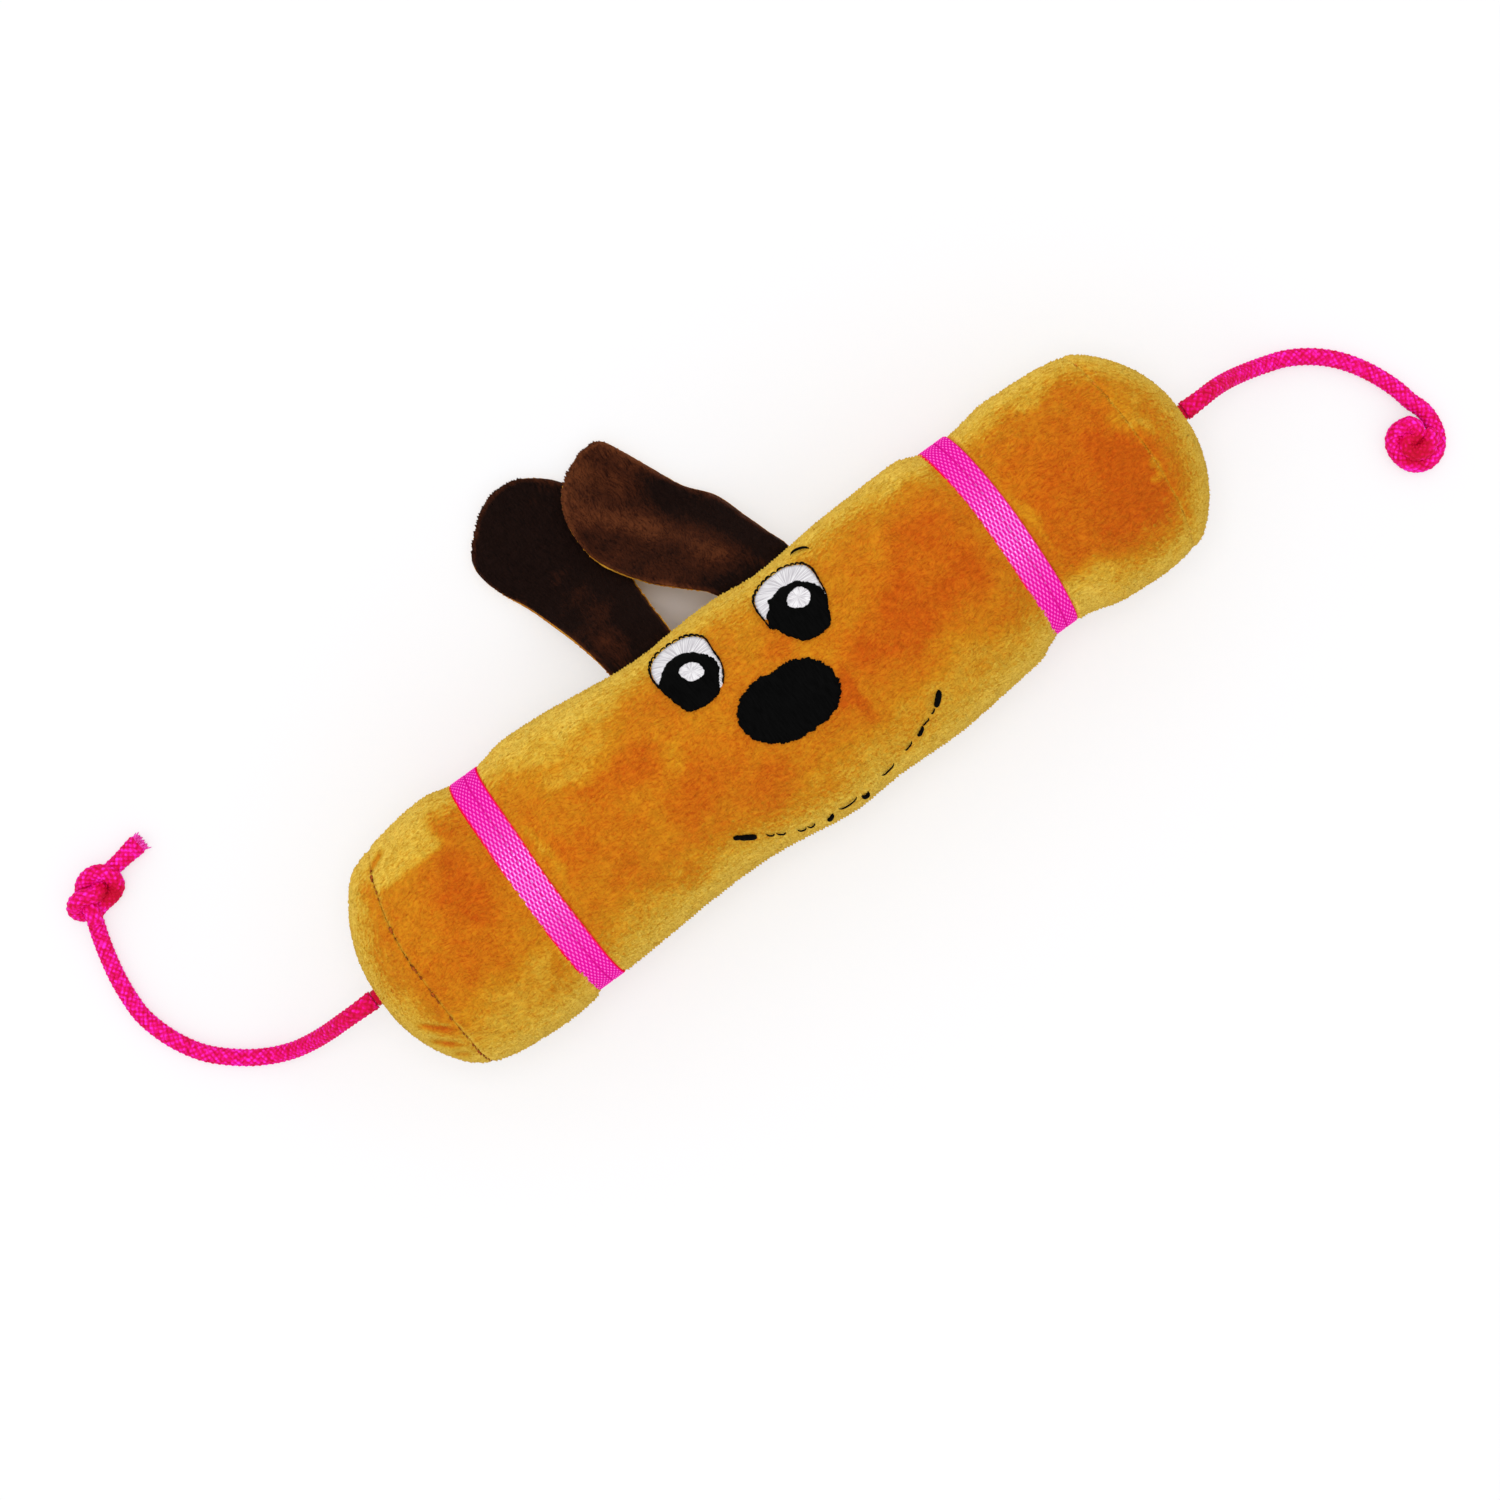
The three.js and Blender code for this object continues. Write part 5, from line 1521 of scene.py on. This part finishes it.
def ear_nap(side, point, normal):
    """Brown pile: painted shade makes it near black in the dips and by the root, and painted highlights make
    it lighter on the ridges of the upper ear.
    """
    deep = EAR_TONE[side] + clouds(point, EAR_CLOUDS)
    deep -= RIM_PALE * (1 - smooth_step(*RIM_REACH, rim_distance(side, point)))
    for paler, middle, across, width, reach in EAR_RIDGE_HIGHLIGHTS[side]:
        deep -= paler * bell(way_across(point, middle, across), width) * smooth_step(*reach, point.y)
    if side == "right":
        dip_width = DIP_WIDTH + DIP_SPREAD * smooth_step(*DIP_SPREAD_REACH, point.y)
        dip_shade = bell(way_across(point, DIP_MIDDLE, DIP_ACROSS), dip_width)
        upper = smooth_step(*UPPER_REACH, point.y)
        deep += DIP_SHADE_TONE * dip_shade * (1 - DIP_FADE * upper) - UPPER_PALE * upper
        deep += ROOT_SHADE_TONE * (1 - smooth_step(*ROOT_SHADE_REACH, point.y))
    return min(max(deep, 0), 1)


def ear_back_nap(point, normal):
    """Golden pile, painted deeper as shade where it rolls over the rim and is seen end on."""
    return BACK_RIM_SHADE_TONE + clouds(point, BACK_CLOUDS) if normal.z > BACK_TURN else nap_at(point, normal)


for ear_side in ("left", "right"):
    for ear_part in ("front", "back"):
        ear_panel(ear_side, ear_part)

# %% [markdown]
# ## Seam thread
# The end panels are sewn on with a strong thread that sinks into the pile. On the left it shows as a
# broken dark line with a few darker holes, whose shade is painted as thick dark stitches; on the right it is
# nearly lost in the plush.

# %% Seam stitches
SEAM_SHOWN = 36
SEAM_STRAY = 0.25
SEAM_LENGTHS = (0.4, 1.2)
SEAM_THICKNESSES = (0.45, 1.5)
TWIST_SIZE = 0.8


def seam_runs(side, spacing, length, thickness, shown, seed):
    """Uneven stitches along an end seam, of which the pile hides some."""
    draw = random.Random(seed)
    girth = 2 * math.pi * section(SEAM[side])[0]
    place = SEAM[side]
    runs = []
    for i in range(round(girth / spacing)):
        start = spacing * i - girth / 2
        size = length * draw.uniform(*SEAM_LENGTHS)
        thick = thickness * draw.uniform(*SEAM_THICKNESSES)
        aside = draw.uniform(-SEAM_STRAY, SEAM_STRAY)
        if draw.random() < shown and start < SEAM_SHOWN:
            runs.append((thick, [(place, start), (place + aside, start + size / 2), (place, start + size)]))
    return runs


def seam_point(along, around, lift):
    """A point in the groove of an end seam. along strays from the seam by what it differs from it."""
    side = "left" if along < 0 else "right"
    angle = around / section(SEAM[side])[0]
    return skin(seam_at(side, angle) + along - SEAM[side], angle, lift)


def polyester_thread(name, light, dark):
    return mottled(name, TWIST_SIZE, ((0.35, dark), (0.65, light)), Roughness=0.8, Specular_IOR_Level=0.2)


dark_thread = polyester_thread("dark_polyester_thread", "B4580A", "5A2002")
tan_thread = polyester_thread("tan_polyester_thread", "DC861A", "C06A10")
# Painted shade: the darker holes in the left seam are thick dark stitches.
SHADED_HOLES = [(1.0, [(SEAM["left"], place + reach) for reach in (0, 0.6, 1.2)])
         for place in (-9.5, 0.2, 13.5, 32.5)]
finish_piece(stitches(seam_runs("left", 2.3, 1.7, 0.44, 0.6, 3) + SHADED_HOLES, 0.75, seam_point),
             "seam_stitches_left", dark_thread, "root")
finish_piece(stitches(seam_runs("right", 3.1, 1.8, 0.38, 0.3, 4), 0.6, seam_point), "seam_stitches_right",
             tan_thread, "root")

# %% [markdown]
# ## Frayed tail
# The left cord was cut beyond its knot, so its yarns have opened into a little brush of paler filaments.
# They are short threads that leave the cut in a cone.

# %% Frayed tail
FRAY_COUNT = 110
FRAY_LENGTH = 2.8
FRAY_THICKNESS = 0.42
FRAY_BEND = 0.15
FRAY_SPREAD = (0.1, 0.7)


def frayed_tail(line):
    """Filaments that leave the end of a line in a cone and bend outwards a little."""
    draw = random.Random(8)
    mesh = bmesh.new()
    heading = (line[-1] - line[-4]).normalized()
    side, up = steady_frames(line[-4:])[-1]
    for _ in range(FRAY_COUNT):
        angle, share = draw.uniform(0, 2 * math.pi), math.sqrt(draw.random())
        aside = side * math.cos(angle) + up * math.sin(angle)
        start = line[-3] + aside * share * (CORD_DIAMETER / 2 - 0.5)
        way = heading + aside * share * draw.uniform(*FRAY_SPREAD)
        end = start + way * FRAY_LENGTH * draw.uniform(0.5, 1)
        bent = start.lerp(end, 0.6) + aside * FRAY_BEND
        for point in (start, bent, end):
            point.z = max(point.z, FRAY_THICKNESS)
        stitch_mesh(mesh, smooth_line([start, bent, end], 5), FRAY_THICKNESS)
    return mesh


cut_filament = polyester_thread("cut_polyester_filament", "F65CD0", "E0148C")
finish_piece(frayed_tail(left_rope), "left_cord_fray", cut_filament, "root")

# %% [markdown]
# ## What is inside
# The filling, the squeaker and the cord's middle aren't seen, but they get the finish of the real ones:
# loose fibre, blow-moulded polyethylene and the same braid.

# %% Filling and squeaker
FILLING_GAP = 0.6
FILLING_LUMP_SIZE = 9
FILLING_LUMP_HEIGHT = 0.3


def fibre():
    return mottled("polyester_fibre_filling", 3, ((0, "D8D6D0"), (1, "FAFAF8")),
                   {"Detail": 6, "Distortion": 1.5}, (0.6, 1), Roughness=1.0, Sheen_Weight=0.4)


def blown_polyethylene():
    return mottled("blown_polyethylene", 6, ((0, "DDE1E3"), (1, "EEF1F2")), Roughness=0.4, IOR=1.51)


def filling():
    """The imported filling, drawn in a little and lumpy."""
    mesh = bmesh.new()
    mesh.from_mesh(frame["nodes"]["stuffing"].data)
    bmesh.ops.remove_doubles(mesh, verts=mesh.verts, dist=0.001 * MM)
    mesh.normal_update()
    for vert in mesh.verts:
        lump = FILLING_LUMP_HEIGHT * noise.noise(vert.co / (FILLING_LUMP_SIZE * MM))
        vert.co -= vert.normal * (FILLING_GAP + lump) * MM
    return mesh


stuffing = finish_piece(filling(), "fibre_filling_mass", fibre(), "root", ["stuffing"])
plastic = blown_polyethylene()
for node, finish in (("squeaker_bulb", plastic), ("squeaker_reed", plastic), ("cord_core", cord_material)):
    data = frame["nodes"][node].data
    data.materials.clear()
    data.materials.append(finish)

# %% [markdown]
# ## Floor and light
# The toy lies on a white sweep under soft light from all round. The floor shows as near white to the
# camera and still takes the toy's shadow, because only a part of it is lit up for the camera's rays, and
# less of it between the ears, where the real sweep shows its deep shade. There the paper is also painted
# darker, as a painted shadow. The light itself stays at the level where a colour renders about as it is
# written.

# %% Floor
FLOOR_SIZE = 4000
FLOOR_DROP = 0.05
GLOW_SHARE = 0.55
SHADE_PLACE = (-7, 46, 0)
SHADE_REACH = 23
# Where the deep shade between the ears starts and ends to fade, as shares of its reach.
GLOW_FADE = (0.55, 1.3)
PAINTED_SHADE_FADE = (0.5, 1.2)


def white_paper():
    """Paper that is partly lit up for the camera, with a painted shadow that darkens it round one place."""
    material = bpy.data.materials.new("white_paper_sweep")
    material.use_nodes = True
    tree = material.node_tree
    tree.nodes.clear()
    away = add(tree, "ShaderNodeVectorMath", {0: object_place(tree), 1: [c * MM for c in SHADE_PLACE]},
               operation="DISTANCE").outputs["Value"]

    def fade(shares, most):
        return map_range(tree, away, *[SHADE_REACH * share * MM for share in shares], 0, most)

    # Painted shadow: the paper is greyer round the place between the ears.
    painted_shade_paper = mix_colours(tree, fade(PAINTED_SHADE_FADE, 1), linear("DAD6D6"), linear("F5F5F7"))
    lit = add(tree, "ShaderNodeBsdfDiffuse", {"Color": painted_shade_paper})
    glow = add(tree, "ShaderNodeEmission", {"Color": linear("FAFAFB"), "Strength": 1.0})
    ray = add(tree, "ShaderNodeLightPath")
    share = calculate(tree, "MULTIPLY", ray.outputs["Is Camera Ray"], fade(GLOW_FADE, GLOW_SHARE))
    mixed = add(tree, "ShaderNodeMixShader", {0: share, 1: lit.outputs[0], 2: glow.outputs[0]})
    add(tree, "ShaderNodeOutputMaterial", {"Surface": mixed.outputs[0]})
    return material


def floor():
    mesh = bmesh.new()
    bmesh.ops.create_grid(mesh, x_segments=1, y_segments=1, size=FLOOR_SIZE / 2 * MM)
    for vert in mesh.verts:
        vert.co.z = -FLOOR_DROP * MM
    sweep = new_object(mesh, "floor", white_paper())


floor()

# %% Light
WORLD_STRENGTH = 0.905
LAMP_SIZE = 550
LAMP_POWER = 6.6
LAMP_PLACE = (-40, 40, 1450)

world = bpy.data.worlds.new("studio")
world.use_nodes = True
bpy.context.scene.world = world
sky = world.node_tree
background = sky.nodes["Background"]
background.inputs["Color"].default_value = (1, 1, 1, 1)
ray = add(sky, "ShaderNodeLightPath")
seen = add(sky, "ShaderNodeMix", {0: ray.outputs["Is Camera Ray"], 2: WORLD_STRENGTH, 3: 1.0})
sky.links.new(seen.outputs[0], background.inputs["Strength"])

lamp_data = bpy.data.lights.new("soft_box", "AREA")
lamp_data.shape = "SQUARE"
lamp_data.size = LAMP_SIZE * MM
lamp_data.energy = LAMP_POWER
lamp = bpy.data.objects.new("soft_box", lamp_data)
lamp.location = Vector(LAMP_PLACE) * MM
lamp.rotation_euler = (-lamp.location).to_track_quat("-Z", "Y").to_euler()
bpy.context.scene.collection.objects.link(lamp)
bpy.context.scene.view_settings.view_transform = "Standard"
